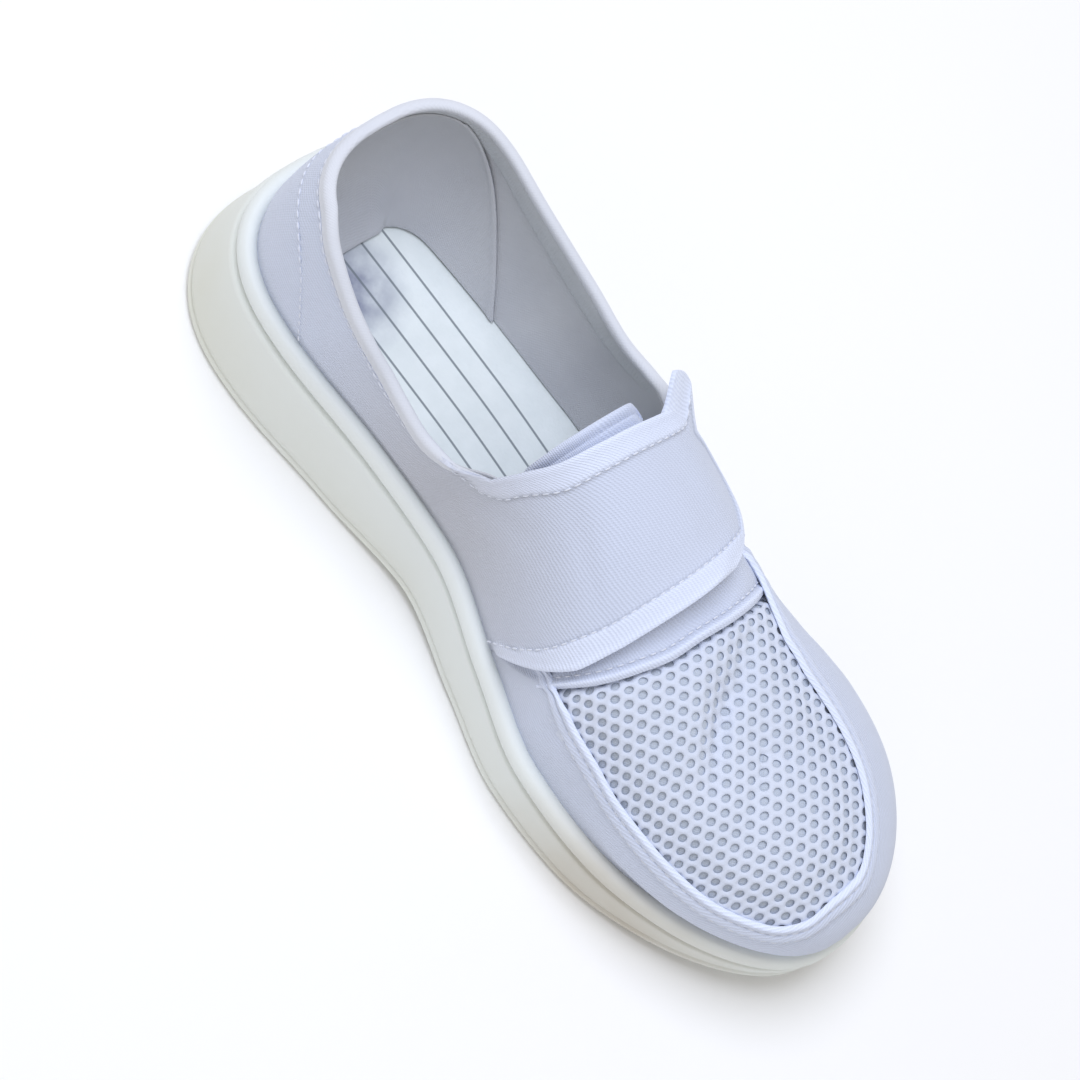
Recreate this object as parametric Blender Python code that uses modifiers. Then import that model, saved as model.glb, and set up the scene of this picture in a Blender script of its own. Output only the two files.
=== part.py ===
"""A left anti-static canvas shoe with an instep strap, standing empty on its sole.

Tables and sizes are in millimetres, and the meshes are in metres, +Z up. The toe points to -Y, the heel
to +Y and the outer side of the foot to +X. The origin is on the floor under the middle of the shoe.
A station is the share of the rim's length from the heel (0) to the toe (1). A turn goes round a section
of the last: 0 degrees at the inner side of the foot, 90 on the ridge, 180 at the outer side.
"""
import math
from collections import namedtuple

import bmesh
import bpy
from mathutils import Matrix, Vector

MM = 0.001
LENGTH = 247.0
GAP = 0.35

# The upper's wall and the cup of the sole that holds it.
WALL = 1.8
FEATHER = 4.0
CUP_DEPTH = 8.0
CUP_CLEAR = 0.5
BASE_CLEAR = 0.8
QUARTER_STEP = 1.0
INSOLE_THICK = 4.0
INSOLE_CLEAR = 0.7
INSOLE_BEVEL = 1.0

# Round ends of the outline, as shares of the length, and the toe's sideways swing.
HEEL_ROUND = 0.15
HEEL_POWER = 2.5
TOE_ROUND = 0.34
TOE_POWER = 2.3
TOE_SWING = 5.0
SWING_FROM = 0.35

# The middle line's place in the frame, so that the shoe's box is centred over the origin.
CENTRE_X = -5.15
CENTRE_Y = -2.15

# The ridge of the last follows the stations between these two, and ends short of heel and toe.
SPINE_HEEL_END = 0.18
SPINE_HEEL_FREE = 0.36
SPINE_TOE_FREE = 0.60
SPINE_TOE_END = 0.79

# Quarters lie on the mudguard along a seam that leans forward from the sole.
SEAM_STATION = 0.535
SEAM_LEAN = 0.072
SEAM_REACH = 0.11
SEAM_WIDTH = 0.008

# Vamp, tongue, strap and binding.
VAMP_BACK = 0.644
VAMP_BACK_SLANT = 0.016
VAMP_BACK_SPAN = 50.0
VAMP_TUCK = 9.0
VAMP_RISE = 1.9
VAMP_RISE_TURN = 16.0
VAMP_RISE_STATION = 0.05
LAYER_CLEAR = 0.8
TONGUE_TOP = 0.408
TONGUE_SIDE = 34.0
TONGUE_ROUND = 0.035
TONGUE_BUTT = 0.5
STRAP_THICK = 1.8
STRAP_END = 140.0
STRAP_BUTT = 0.8
STRAP_CORNER = 9.0
STRAP_LIFT_FROM = 58.0
STRAP_LIFT_TO = 104.0
BINDING_THICK = 0.8
BINDING_DEPTH = 8.0
BINDING_CLEAR = 0.5
BINDING_MEDIAL_END = 0.40
BINDING_LATERAL_END = 0.375

# Tread grooves.
GROOVE_WIDTH = 3.2
GROOVE_DEEP = 2.6
GROOVE_BORDER = 10.0
GROOVE_STATIONS = (0.10, 0.155, 0.21, 0.265, 0.575, 0.625, 0.675, 0.725, 0.775, 0.825, 0.875)

Outline = namedtuple("Outline", "station medial lateral")
OUTLINE = (
    Outline(0.00, 35.0, 35.0),
    Outline(0.15, 35.0, 35.0),
    Outline(0.30, 31.5, 36.0),
    Outline(0.42, 29.5, 39.0),
    Outline(0.55, 36.5, 44.0),
    Outline(0.66, 43.0, 47.5),
    Outline(0.78, 44.0, 49.0),
    Outline(0.88, 42.0, 49.5),
    Outline(1.00, 38.0, 47.0),
)

Level = namedtuple("Level", "station tread rim flare")
LEVELS = (
    Level(0.00, 1.6, 34.5, 4.6),
    Level(0.08, 0.0, 34.5, 4.6),
    Level(0.30, 0.0, 33.0, 3.2),
    Level(0.44, 2.0, 29.0, 1.4),
    Level(0.58, 0.0, 23.5, 1.0),
    Level(0.68, 0.0, 21.0, 1.0),
    Level(0.76, 0.0, 20.8, 0.8),
    Level(0.88, 2.6, 21.8, 0.4),
    Level(1.00, 8.0, 25.0, 0.0),
)

Section = namedtuple("Section", "station ridge fullness medial_swell lateral_swell")
SECTIONS = (
    Section(0.00, 106.0, 2.6, 0.0, 0.0),
    Section(0.18, 106.0, 2.6, 0.4, 2.0),
    Section(0.30, 98.0, 2.5, 0.4, 4.0),
    Section(0.45, 81.0, 2.4, 0.6, 3.0),
    Section(0.55, 72.0, 2.35, 1.0, 1.8),
    Section(0.62, 64.8, 2.25, 1.5, 1.8),
    Section(0.66, 60.6, 2.25, 1.8, 2.0),
    Section(0.70, 57.0, 2.25, 2.0, 2.2),
    Section(0.745, 53.4, 2.3, 2.2, 2.4),
    Section(0.79, 51.5, 2.3, 2.2, 2.4),
    Section(1.00, 51.5, 2.4, 1.6, 1.6),
)

FreeEdge = namedtuple("FreeEdge", "station medial lateral")
FREE_EDGE = (
    FreeEdge(0.00, 77.0, 77.0),
    FreeEdge(0.06, 76.5, 76.5),
    FreeEdge(0.12, 71.5, 73.5),
    FreeEdge(0.20, 62.5, 68.0),
    FreeEdge(0.29, 54.0, 62.5),
    FreeEdge(0.35, 52.0, 61.0),
    FreeEdge(0.39, 55.0, 62.5),
    FreeEdge(0.43, 65.0, 69.0),
    FreeEdge(0.565, 56.0, 62.0),
    FreeEdge(0.605, 52.4, 54.0),
    FreeEdge(0.635, 44.0, 48.0),
    FreeEdge(0.70, 42.0, 46.5),
    FreeEdge(0.80, 40.0, 44.5),
    FreeEdge(0.90, 38.5, 41.5),
    FreeEdge(1.00, 38.5, 38.5),
)

StrapEdge = namedtuple("StrapEdge", "turn rear front")
STRAP_EDGES = (
    StrapEdge(40.0, 0.430, 0.602),
    StrapEdge(65.0, 0.436, 0.616),
    StrapEdge(90.0, 0.439, 0.621),
    StrapEdge(115.0, 0.426, 0.610),
    StrapEdge(140.0, 0.405, 0.588),
)

# The sole's side, from the tread's edge up over the rim and down into the cup.
SideStep = namedtuple("SideStep", "outset flares from_level rise")
SIDE_STEPS = (
    SideStep(-2.4, 1.0, "tread", 0.0),
    SideStep(-0.4, 1.0, "tread", 0.9),
    SideStep(0.2, 1.0, "tread", 3.0),
    SideStep(0.1, 0.3, "rim", -9.2),
    SideStep(-0.9, 0.1, "rim", -8.0),
    SideStep(-0.9, 0.0, "rim", -7.2),
    SideStep(0.2, 0.0, "rim", -6.2),
    SideStep(0.5, 0.0, "rim", -4.0),
    SideStep(0.1, 0.0, "rim", -1.2),
    SideStep(-1.3, 0.0, "rim", 0.0),
    SideStep(-FEATHER + CUP_CLEAR, 0.0, "rim", -0.2),
    SideStep(-FEATHER + CUP_CLEAR, 0.0, "bed", 0.0),
)

# The step of angle that the outline's direction is read over.
OUTLINE_PROBE = 0.02

# Ring columns: even steps round the outline, and more of them where the free edge turns quickly.
RING_STEPS = 30
EXTRA_STATIONS = (BINDING_LATERAL_END, BINDING_MEDIAL_END, 0.415, 0.43, 0.535, 0.543, 0.585, 0.602, 0.618)
UPPER_ROWS = 8


def through(table, column, at):
    """Reads one column of a table at a station, on a smooth curve that doesn't overshoot its rows."""
    places = [row[0] for row in table]
    values = [getattr(row, column) for row in table]
    at = min(max(at, places[0]), places[-1])
    last = len(places) - 1
    k = max(i for i in range(last) if places[i] <= at)
    slopes = [(values[i + 1] - values[i]) / (places[i + 1] - places[i]) for i in range(last)]

    def tangent(i):
        if i in (0, last):
            return slopes[0] if i == 0 else slopes[-1]
        before, after = slopes[i - 1], slopes[i]
        return 2 * before * after / (before + after) if before * after > 0 else 0.0

    span = places[k + 1] - places[k]
    u = (at - places[k]) / span
    return (values[k] * (1 + 2 * u) * (1 - u) ** 2 + values[k + 1] * u * u * (3 - 2 * u)
            + span * (tangent(k) * u * (1 - u) ** 2 - tangent(k + 1) * u * u * (1 - u)))


def ease(value):
    """Goes smoothly from 0 to 1 as the value does."""
    value = min(max(value, 0.0), 1.0)
    return value * value * (3 - 2 * value)


def round_ends(station):
    """The share of the half width that the round heel and toe leave at a station."""
    if station < HEEL_ROUND:
        share, power = 1 - station / HEEL_ROUND, HEEL_POWER
    elif station > 1 - TOE_ROUND:
        share, power = (station - 1 + TOE_ROUND) / TOE_ROUND, TOE_POWER
    else:
        return 1.0
    return max(1 - share ** power, 0.0) ** (1 / power)


def axis(station):
    """The middle line in plan, which swings sideways towards the toe."""
    swing = TOE_SWING * ease((station - SWING_FROM) / (1 - SWING_FROM))
    return Vector((CENTRE_X + swing, CENTRE_Y + LENGTH * (0.5 - station)))


def ring_angle(station, lateral):
    """The angle round the outline, from the heel along the inner side to the toe and back."""
    angle = math.acos(1 - 2 * min(max(station, 0.0), 1.0))
    return 2 * math.pi - angle if lateral else angle


def outline(angle):
    """A point of the rim's outline in plan."""
    station = (1 - math.cos(angle)) / 2
    lateral = math.sin(angle) < 0
    half = through(OUTLINE, "lateral" if lateral else "medial", station) * round_ends(station)
    return axis(station) + Vector((half if lateral else -half, 0.0))


def outward(angle):
    """The outline's outward direction in plan."""
    along = outline(angle + OUTLINE_PROBE) - outline(angle - OUTLINE_PROBE)
    return Vector((along.y, -along.x)).normalized()


def edge(angle, outset):
    """A point of the outline moved outwards."""
    return outline(angle) + outward(angle) * outset


def level(name, station):
    """A height of the sole: its tread, its rim or the bed of its cup."""
    if name == "bed":
        return through(LEVELS, "rim", station) - CUP_DEPTH
    return through(LEVELS, name, station)


def spine(station):
    """The station on the ridge that a section of the last leans to."""
    if station > SPINE_TOE_FREE:
        reach, span = SPINE_TOE_END - SPINE_TOE_FREE, 1 - SPINE_TOE_FREE
        return SPINE_TOE_FREE + reach * (1 - (1 - (station - SPINE_TOE_FREE) / span) ** (span / reach))
    if station < SPINE_HEEL_FREE:
        reach = SPINE_HEEL_FREE - SPINE_HEEL_END
        return SPINE_HEEL_FREE - reach * (1 - (station / SPINE_HEEL_FREE) ** (SPINE_HEEL_FREE / reach))
    return station


def section_heights(station, offset):
    """The base and the top of the last's section at a station."""
    return level("bed", station) + BASE_CLEAR, through(SECTIONS, "ridge", spine(station)) + offset


def form(station, turn, offset=0.0):
    """A point of the last's surface, or of a layer that lies further out, in metres."""
    lateral = turn > 90
    lift = math.radians(180 - turn if lateral else turn)
    rim_lift = math.radians(lift_at(station, level("rim", station)))
    above_rim = max((lift - rim_lift) / (math.pi / 2 - rim_lift), 0.0)
    angle = ring_angle(station, lateral)
    middle = axis(spine(station))
    power = 2 / through(SECTIONS, "fullness", station)
    plan = middle + (edge(angle, offset - FEATHER) - middle) * max(math.cos(lift), 0.0) ** power
    swell = through(SECTIONS, "lateral_swell" if lateral else "medial_swell", station)
    plan += outward(angle) * swell * math.sin(math.pi * above_rim)
    low, high = section_heights(station, offset)
    return Vector((plan.x, plan.y, low + (high - low) * max(math.sin(lift), 0.0) ** power)) * MM


def lift_at(station, height, offset=0.0):
    """The lift in degrees at which a layer of the last reaches a height."""
    low, high = section_heights(station, offset)
    share = min(max((height - low) / (high - low), 0.0), 0.999)
    return math.degrees(math.asin(share ** (through(SECTIONS, "fullness", station) / 2)))


def free_lift(station, lateral):
    """The lift of the upper's free edge: collar, throat and the apron round the vamp."""
    return lift_at(station, through(FREE_EDGE, "lateral" if lateral else "medial", station))


def seam_station(share):
    """The quarters' front seam, at a share of the way from the sole to the free edge."""
    return SEAM_STATION + SEAM_LEAN * share


def leaned(station, share):
    """A column of the upper leans with the seam, at a share of the way from the sole to the free edge."""
    lean = SEAM_LEAN * math.exp(-((station - SEAM_STATION) / SEAM_REACH) ** 2)
    return min(station + lean * share, 1.0)


def quarter_layer(station, share):
    """How far the quarters stand out of the mudguard."""
    return QUARTER_STEP * ease((seam_station(share) - station) / SEAM_WIDTH + 0.5)


def new_object(name, mesh, finish):
    """Links a named part with its material."""
    part = bpy.data.objects.new(name, mesh)
    part.data.materials.append(finish)
    bpy.data.collections["esd_strap_shoe"].objects.link(part)
    part.data.shade_smooth()
    return part


def material(name, colour, roughness):
    """A plain finish."""
    finish = bpy.data.materials.new(name)
    finish.use_nodes = True
    shader = finish.node_tree.nodes["Principled BSDF"]
    shader.inputs["Base Color"].default_value = (*colour, 1.0)
    shader.inputs["Roughness"].default_value = roughness
    shader.inputs["Metallic"].default_value = 0.0
    return finish


def sheet(columns, rows, place):
    """An open grid of faces whose points are placed by column and row."""
    grid = bmesh.new()
    bmesh.ops.create_grid(grid, x_segments=columns, y_segments=rows, size=0.5)
    for point in grid.verts:
        column = round((point.co.x + 0.5) * columns)
        row = round((point.co.y + 0.5) * rows)
        point.co = place(column, row)
    bmesh.ops.remove_doubles(grid, verts=grid.verts, dist=1e-6)
    return grid


def shell(name, grid, thick, outside, finish):
    """A sheet with a wall, which grows outwards or inwards from the sheet."""
    mesh = bpy.data.meshes.new(name)
    grid.to_mesh(mesh)
    grid.free()
    part = new_object(name, mesh, finish)
    wall = part.modifiers.new("wall", "SOLIDIFY")
    wall.thickness = thick * MM
    wall.offset = 1.0 if outside else -1.0
    wall.use_even_offset = True
    return part


def closed_rings(rings):
    """A closed body through rings of points, each end closed by strips from one side to the other."""
    body = bmesh.new()
    rows = [[body.verts.new(point) for point in ring] for ring in rings]
    count = len(rows[0])
    for low, high in zip(rows, rows[1:]):
        for i in range(count):
            j = (i + 1) % count
            body.faces.new((low[i], low[j], high[j], high[i]))
    for ring in (rows[0], rows[-1]):
        for i in range(count // 2):
            corners = [ring[i], ring[i + 1], ring[(count - i - 1) % count], ring[(count - i) % count]]
            body.faces.new(list(dict.fromkeys(corners)))
    bmesh.ops.recalc_face_normals(body, faces=body.faces)
    return body


def side_stations(steps, extras):
    """Stations from heel to toe, close together at both ends."""
    even = [(1 - math.cos(math.pi * k / steps)) / 2 for k in range(steps + 1)]
    kept = [s for s in even if min(abs(s - x) for x in extras) > SEAM_WIDTH]
    return sorted(kept + list(extras))


def make_outsole(finish):
    """The moulded sole: tread, flared side with its groove, rim bead and cup."""
    steps = 2 * RING_STEPS
    angles = [2 * math.pi * k / steps for k in range(steps)]
    rings = []
    for step in SIDE_STEPS:
        ring = []
        for angle in angles:
            station = (1 - math.cos(angle)) / 2
            point = edge(angle, step.outset + step.flares * level("flare", station))
            ring.append(Vector((point.x, point.y, level(step.from_level, station) + step.rise)) * MM)
        rings.append(ring)
    body = closed_rings(rings)
    mesh = bpy.data.meshes.new("outsole")
    body.to_mesh(mesh)
    body.free()
    sole = new_object("outsole", mesh, finish)
    cut = sole.modifiers.new("tread", "BOOLEAN")
    cut.object = make_tread_cutter()
    cut.operation = "DIFFERENCE"
    cut.solver = "EXACT"


def make_tread_cutter():
    """Bars that cut the tread's grooves and stop short of the sole's border."""
    bars = bmesh.new()
    for station in GROOVE_STATIONS:
        left = edge(ring_angle(station, False), 0.0).x + GROOVE_BORDER
        right = edge(ring_angle(station, True), 0.0).x - GROOVE_BORDER
        top = level("tread", station) + GROOVE_DEEP
        size = Vector((right - left, GROOVE_WIDTH, top + GROOVE_DEEP))
        centre = Vector(((left + right) / 2, axis(station).y, (top - GROOVE_DEEP) / 2))
        place = Matrix.Translation(centre * MM) @ Matrix.Diagonal((*size, 1))
        bmesh.ops.create_cube(bars, size=MM, matrix=place)
    mesh = bpy.data.meshes.new("tread_bars")
    bars.to_mesh(mesh)
    bars.free()
    cutter = bpy.data.objects.new("tread_bars", mesh)
    cutter.hide_render = True
    cutter.display_type = "WIRE"
    bpy.data.collections["cutters"].objects.link(cutter)
    return cutter


def make_insole(finish):
    """The insole: a plate on the bed of the cup, inside the upper's wall."""
    steps = 2 * RING_STEPS
    inset = -(FEATHER + WALL + INSOLE_CLEAR)
    rings = []
    edges = ((inset, GAP), (inset, INSOLE_THICK - INSOLE_BEVEL), (inset - INSOLE_BEVEL, INSOLE_THICK))
    for outset, rise in edges:
        ring = []
        for k in range(steps):
            angle = 2 * math.pi * k / steps
            point = edge(angle, outset)
            ring.append(Vector((point.x, point.y, level("bed", (1 - math.cos(angle)) / 2) + rise)) * MM)
        rings.append(ring)
    body = closed_rings(rings)
    mesh = bpy.data.meshes.new("insole")
    body.to_mesh(mesh)
    body.free()
    new_object("insole", mesh, finish)


def make_upper(finish):
    """Mudguard and quarters: one wall round the foot, open at collar, throat, vamp and underneath."""
    stations = side_stations(RING_STEPS, EXTRA_STATIONS)
    ring = [(s, False) for s in stations] + [(s, True) for s in reversed(stations)]

    def place(column, row):
        station, lateral = ring[column]
        share = max(row - 1, 0) / (UPPER_ROWS - 1)
        station = leaned(station, share)
        at_rim = lift_at(station, level("rim", station) + GAP) * min(row, 1)
        lift = at_rim + (free_lift(station, lateral) - at_rim) * share
        proud = quarter_layer(station, share) * min(max(row - 1, 0), 1)
        return form(station, 180 - lift if lateral else lift, proud)

    shell("upper", sheet(len(ring) - 1, UPPER_ROWS, place), WALL, False, finish)


def vamp_back(turn):
    """The station of the seam between tongue and vamp, further back on the inner side."""
    return VAMP_BACK + VAMP_BACK_SLANT * (turn - 90) / VAMP_BACK_SPAN


def make_mesh_vamp(finish):
    """The vamp: a wall under the apron's edge, crowned in the middle."""
    columns, rows = 16, 14

    def place(column, row):
        back = vamp_back(TONGUE_SIDE + (180 - 2 * TONGUE_SIDE) * column / columns)
        first = math.acos(1 - 2 * back)
        station = (1 - math.cos(math.pi - (math.pi - first) * row / rows)) / 2
        low = free_lift(station, False) - VAMP_TUCK
        high = 180 - free_lift(station, True) + VAMP_TUCK
        turn = low + (high - low) * column / columns
        inside = min(turn - low, high - turn) - VAMP_TUCK
        crown = ease(inside / VAMP_RISE_TURN) * ease((station - back) / VAMP_RISE_STATION)
        return form(station, turn, -WALL - LAYER_CLEAR + VAMP_RISE * crown)

    shell("mesh_vamp", sheet(columns, rows, place), WALL, False, finish)


def make_tongue(finish):
    """The tongue: a wall under strap and quarters, with round corners at its top."""
    columns, rows = 16, 12

    def place(column, row):
        turn = TONGUE_SIDE + (180 - 2 * TONGUE_SIDE) * column / columns
        front = vamp_back(turn) - TONGUE_BUTT / LENGTH
        aside = abs(2 * column / columns - 1)
        back = TONGUE_TOP + TONGUE_ROUND * (1 - (1 - aside ** 4) ** 0.5)
        station = front - (front - back) * row / rows
        return form(station, turn, -WALL - LAYER_CLEAR)

    shell("tongue", sheet(columns, rows, place), WALL, False, finish)


def make_instep_strap(finish):
    """The strap: on from the inner quarter's edge, over the tongue, its round end on the outer quarter."""
    columns, rows = 18, 8

    def place(column, row):
        along = column / columns
        middle = through(STRAP_EDGES, "rear", 90.0) / 2 + through(STRAP_EDGES, "front", 90.0) / 2
        start = free_lift(middle, False) + STRAP_BUTT
        turn = start + (STRAP_END - start) * along
        rear, front = through(STRAP_EDGES, "rear", turn), through(STRAP_EDGES, "front", turn)
        corner = min(max((turn - STRAP_END) / STRAP_CORNER + 1, 0.0), 1.0)
        trim = STRAP_CORNER / LENGTH * (1 - (1 - corner * corner) ** 0.5)
        station = front - trim - (front - rear - 2 * trim) * row / rows
        begin = free_lift(station, False) + STRAP_BUTT
        turn = begin + (STRAP_END - begin) * along
        climb = ease((turn - STRAP_LIFT_FROM) / (STRAP_LIFT_TO - STRAP_LIFT_FROM))
        return form(station, turn, QUARTER_STEP + (STRAP_THICK + GAP) * climb)

    shell("instep_strap", sheet(columns, rows, place), STRAP_THICK, False, finish)


def make_collar_binding(finish):
    """The binding: tape folded over the collar's edge, from one side of the throat to the other."""
    stations = side_stations(RING_STEPS, EXTRA_STATIONS)
    path = [(s, True) for s in reversed(stations) if s <= BINDING_LATERAL_END]
    path += [(s, False) for s in stations[1:] if s <= BINDING_MEDIAL_END]
    proud = QUARTER_STEP + BINDING_CLEAR
    deep = QUARTER_STEP - WALL - BINDING_CLEAR
    fold = ((-BINDING_DEPTH, proud), (-BINDING_DEPTH / 2, proud), (0.0, proud),
            (BINDING_CLEAR, (proud + deep) / 2),
            (0.0, deep), (-BINDING_DEPTH / 2, deep), (-BINDING_DEPTH, deep))

    def place(column, row):
        station, lateral = path[column]
        station = leaned(station, 1.0)
        rise, layer = fold[row]
        height = through(FREE_EDGE, "lateral" if lateral else "medial", station) + QUARTER_STEP + rise
        lift = lift_at(station, height, layer)
        return form(station, 180 - lift if lateral else lift, layer)

    shell("collar_binding", sheet(len(path) - 1, len(fold) - 1, place), BINDING_THICK, True, finish)


def main():
    for old in list(bpy.data.objects):
        bpy.data.objects.remove(old, do_unlink=True)
    for name in ("esd_strap_shoe", "cutters"):
        bpy.context.scene.collection.children.link(bpy.data.collections.new(name))
    canvas = material("white_canvas", (0.70, 0.70, 0.80), 0.85)
    moulded = material("white_moulded_sole", (0.74, 0.77, 0.73), 0.5)
    knit = material("white_spacer_mesh", (0.68, 0.69, 0.77), 0.8)
    lining = material("grey_lining", (0.55, 0.57, 0.60), 0.9)
    tape = material("white_binding_tape", (0.72, 0.72, 0.80), 0.8)
    make_outsole(moulded)
    make_insole(lining)
    make_upper(canvas)
    make_mesh_vamp(knit)
    make_tongue(canvas)
    make_instep_strap(canvas)
    make_collar_binding(tape)


if __name__ == "__main__":
    main()
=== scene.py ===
"""The looks of a left anti-static canvas shoe with an instep strap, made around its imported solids.

Tables are in millimetres and meshes in metres, in the solids' own frame: +Z up, the toe to -Y, the outer
side of the foot to +X. A station is the share of the rim's length from the heel (0) to the toe (1). A turn
goes round a section of the last: 0 degrees at the inner side of the foot, 90 on the ridge, 180 at the outer.
"""

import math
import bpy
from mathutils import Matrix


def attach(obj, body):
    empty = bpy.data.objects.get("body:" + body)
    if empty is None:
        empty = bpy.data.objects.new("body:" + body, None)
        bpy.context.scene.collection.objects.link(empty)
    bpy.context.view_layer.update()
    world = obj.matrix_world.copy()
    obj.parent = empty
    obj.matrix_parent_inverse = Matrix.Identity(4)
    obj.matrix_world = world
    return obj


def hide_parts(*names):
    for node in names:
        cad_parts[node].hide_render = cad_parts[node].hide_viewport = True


bl_info = {
    "name": "Anti-static strap shoe",
    "version": (1, 0, 0),
    "blender": (4, 5, 0),
    "location": "View3D > Sidebar > Strap shoe",
    "description": "Moulds, sews and lights a white canvas work shoe around its solids",
    "category": "Object",
}

from collections import namedtuple

import bmesh
import bpy
import numpy as np
from bpy.props import FloatProperty, FloatVectorProperty, PointerProperty
from mathutils import Matrix, Quaternion, Vector

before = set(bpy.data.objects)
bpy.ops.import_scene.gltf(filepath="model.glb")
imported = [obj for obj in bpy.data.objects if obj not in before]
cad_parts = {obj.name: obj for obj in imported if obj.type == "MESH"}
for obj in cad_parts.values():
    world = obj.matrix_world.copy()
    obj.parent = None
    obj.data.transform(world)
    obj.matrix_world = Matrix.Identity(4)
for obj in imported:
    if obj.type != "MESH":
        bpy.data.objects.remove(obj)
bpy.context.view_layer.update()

MM = 0.001
LENGTH = 247.0
GAP = 0.35

# The last and the sole, close to the solids and fitted a little further at the toe and the outer side.
FEATHER = 4.0
CUP_DEPTH = 8.0
BASE_CLEAR = 0.8
QUARTER_STEP = 1.0
HEEL_ROUND, HEEL_POWER = 0.15, 2.5
TOE_ROUND, TOE_POWER = 0.34, 2.3
TOE_SWING, SWING_FROM = 5.0, 0.35
CENTRE_X, CENTRE_Y = -5.15, -2.15
SPINE_HEEL_END, SPINE_HEEL_FREE = 0.18, 0.36
SPINE_TOE_FREE, SPINE_TOE_END = 0.60, 0.79
SEAM_STATION, SEAM_LEAN, SEAM_REACH = 0.535, 0.072, 0.11
OUTLINE_PROBE = 0.02
MM_PER_DEGREE = 0.8
INSOLE_TOP = 4.0
MESH_COLUMNS, MESH_ROWS, MESH_MIDDLE = 32, 40, 0.82

Outline = namedtuple("Outline", "station medial lateral")
OUTLINE = (
    Outline(0.00, 35.0, 35.0),
    Outline(0.15, 35.0, 35.0),
    Outline(0.30, 31.5, 36.0),
    Outline(0.42, 29.5, 39.0),
    Outline(0.55, 36.5, 44.0),
    Outline(0.66, 43.0, 47.5),
    Outline(0.78, 44.0, 49.0),
    Outline(0.88, 42.0, 49.5),
    Outline(1.00, 38.0, 47.0),
)

Level = namedtuple("Level", "station tread rim flare")
LEVELS = (
    Level(0.00, 1.6, 34.5, 4.6),
    Level(0.08, 0.0, 34.5, 4.6),
    Level(0.30, 0.0, 33.0, 3.2),
    Level(0.44, 2.0, 29.0, 1.4),
    Level(0.58, 0.0, 23.5, 1.0),
    Level(0.68, 0.0, 21.0, 1.0),
    Level(0.76, 0.0, 20.2, 0.8),
    Level(0.88, 2.6, 19.6, 0.4),
    Level(1.00, 8.0, 21.5, 0.0),
)

Section = namedtuple("Section", "station ridge fullness medial_swell lateral_swell")
SECTIONS = (
    Section(0.00, 106.0, 2.6, 0.0, 0.0),
    Section(0.18, 106.0, 2.6, 0.4, 2.0),
    Section(0.30, 98.0, 2.5, 0.4, 4.0),
    Section(0.45, 81.0, 2.4, 0.6, 2.4),
    Section(0.55, 72.0, 2.35, 1.0, 0.2),
    Section(0.62, 64.8, 2.25, 1.5, -0.9),
    Section(0.66, 60.6, 2.25, 1.8, -0.6),
    Section(0.70, 57.0, 2.25, 2.0, 0.6),
    Section(0.745, 53.4, 2.3, 2.4, 2.6),
    Section(0.79, 51.5, 2.3, 2.5, 4.2),
    Section(0.88, 51.5, 2.33, 2.8, 4.8),
    Section(1.00, 51.5, 2.4, 3.4, 3.4),
)

FreeEdge = namedtuple("FreeEdge", "station medial lateral")
FREE_EDGE = (
    FreeEdge(0.00, 77.0, 77.0),
    FreeEdge(0.06, 76.5, 76.5),
    FreeEdge(0.12, 71.5, 73.5),
    FreeEdge(0.20, 62.5, 68.0),
    FreeEdge(0.29, 53.8, 62.5),
    FreeEdge(0.33, 51.6, 61.2),
    FreeEdge(0.36, 53.4, 61.1),
    FreeEdge(0.40, 62.5, 63.6),
    FreeEdge(0.43, 65.0, 69.0),
    FreeEdge(0.565, 56.0, 62.0),
    FreeEdge(0.605, 52.4, 55.5),
    FreeEdge(0.635, 44.0, 53.2),
    FreeEdge(0.70, 41.0, 53.0),
    FreeEdge(0.741, 39.4, 52.0),
    FreeEdge(0.80, 38.2, 50.0),
    FreeEdge(0.85, 37.0, 48.6),
    FreeEdge(0.90, 36.1, 47.6),
    FreeEdge(0.955, 37.0, 46.4),
    FreeEdge(0.985, 39.6, 44.8),
    FreeEdge(1.00, 42.8, 42.8),
)

# The strap runs on from the inner quarter, and its round end lies on the outer one.
StrapEdge = namedtuple("StrapEdge", "turn rear front")
STRAP_EDGES = (
    StrapEdge(34.0, 0.400, 0.597),
    StrapEdge(48.0, 0.414, 0.608),
    StrapEdge(66.0, 0.428, 0.6155),
    StrapEdge(88.0, 0.4345, 0.618),
    StrapEdge(106.0, 0.441, 0.6135),
    StrapEdge(115.0, 0.443, 0.609),
    StrapEdge(140.0, 0.436, 0.596),
)
StrapEnd = namedtuple("StrapEnd", "share turn")
STRAP_ENDS = (
    StrapEnd(0.0, 121.0),
    StrapEnd(0.03, 126.5),
    StrapEnd(0.07, 130.5),
    StrapEnd(0.11, 132.0),
    StrapEnd(0.15, 131.0),
    StrapEnd(0.19, 130.5),
    StrapEnd(0.26, 133.0),
    StrapEnd(0.36, 138.0),
    StrapEnd(0.55, 140.0),
    StrapEnd(0.74, 136.0),
    StrapEnd(0.88, 127.5),
    StrapEnd(0.96, 119.0),
    StrapEnd(1.0, 111.0),
)
STRAP_ROOT_REAR, STRAP_ROOT_FRONT, STRAP_LONG = 0.400, 0.607, 105.0
STRAP_LIFT, STRAP_LIFT_FROM, STRAP_LIFT_TO = 1.7, 58.0, 104.0
TAB_BACK, TAB_LIFT, TAB_FROM = 0.0265, 4.8, 0.88
HEM_WIDTH = 7.0
QUARTER_CORNER = 16.0
THROAT_HEIGHT = 43.7
TOE_PUFF, PUFF_FROM, PUFF_FULL = 3.2, 0.70, 0.88

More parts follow.
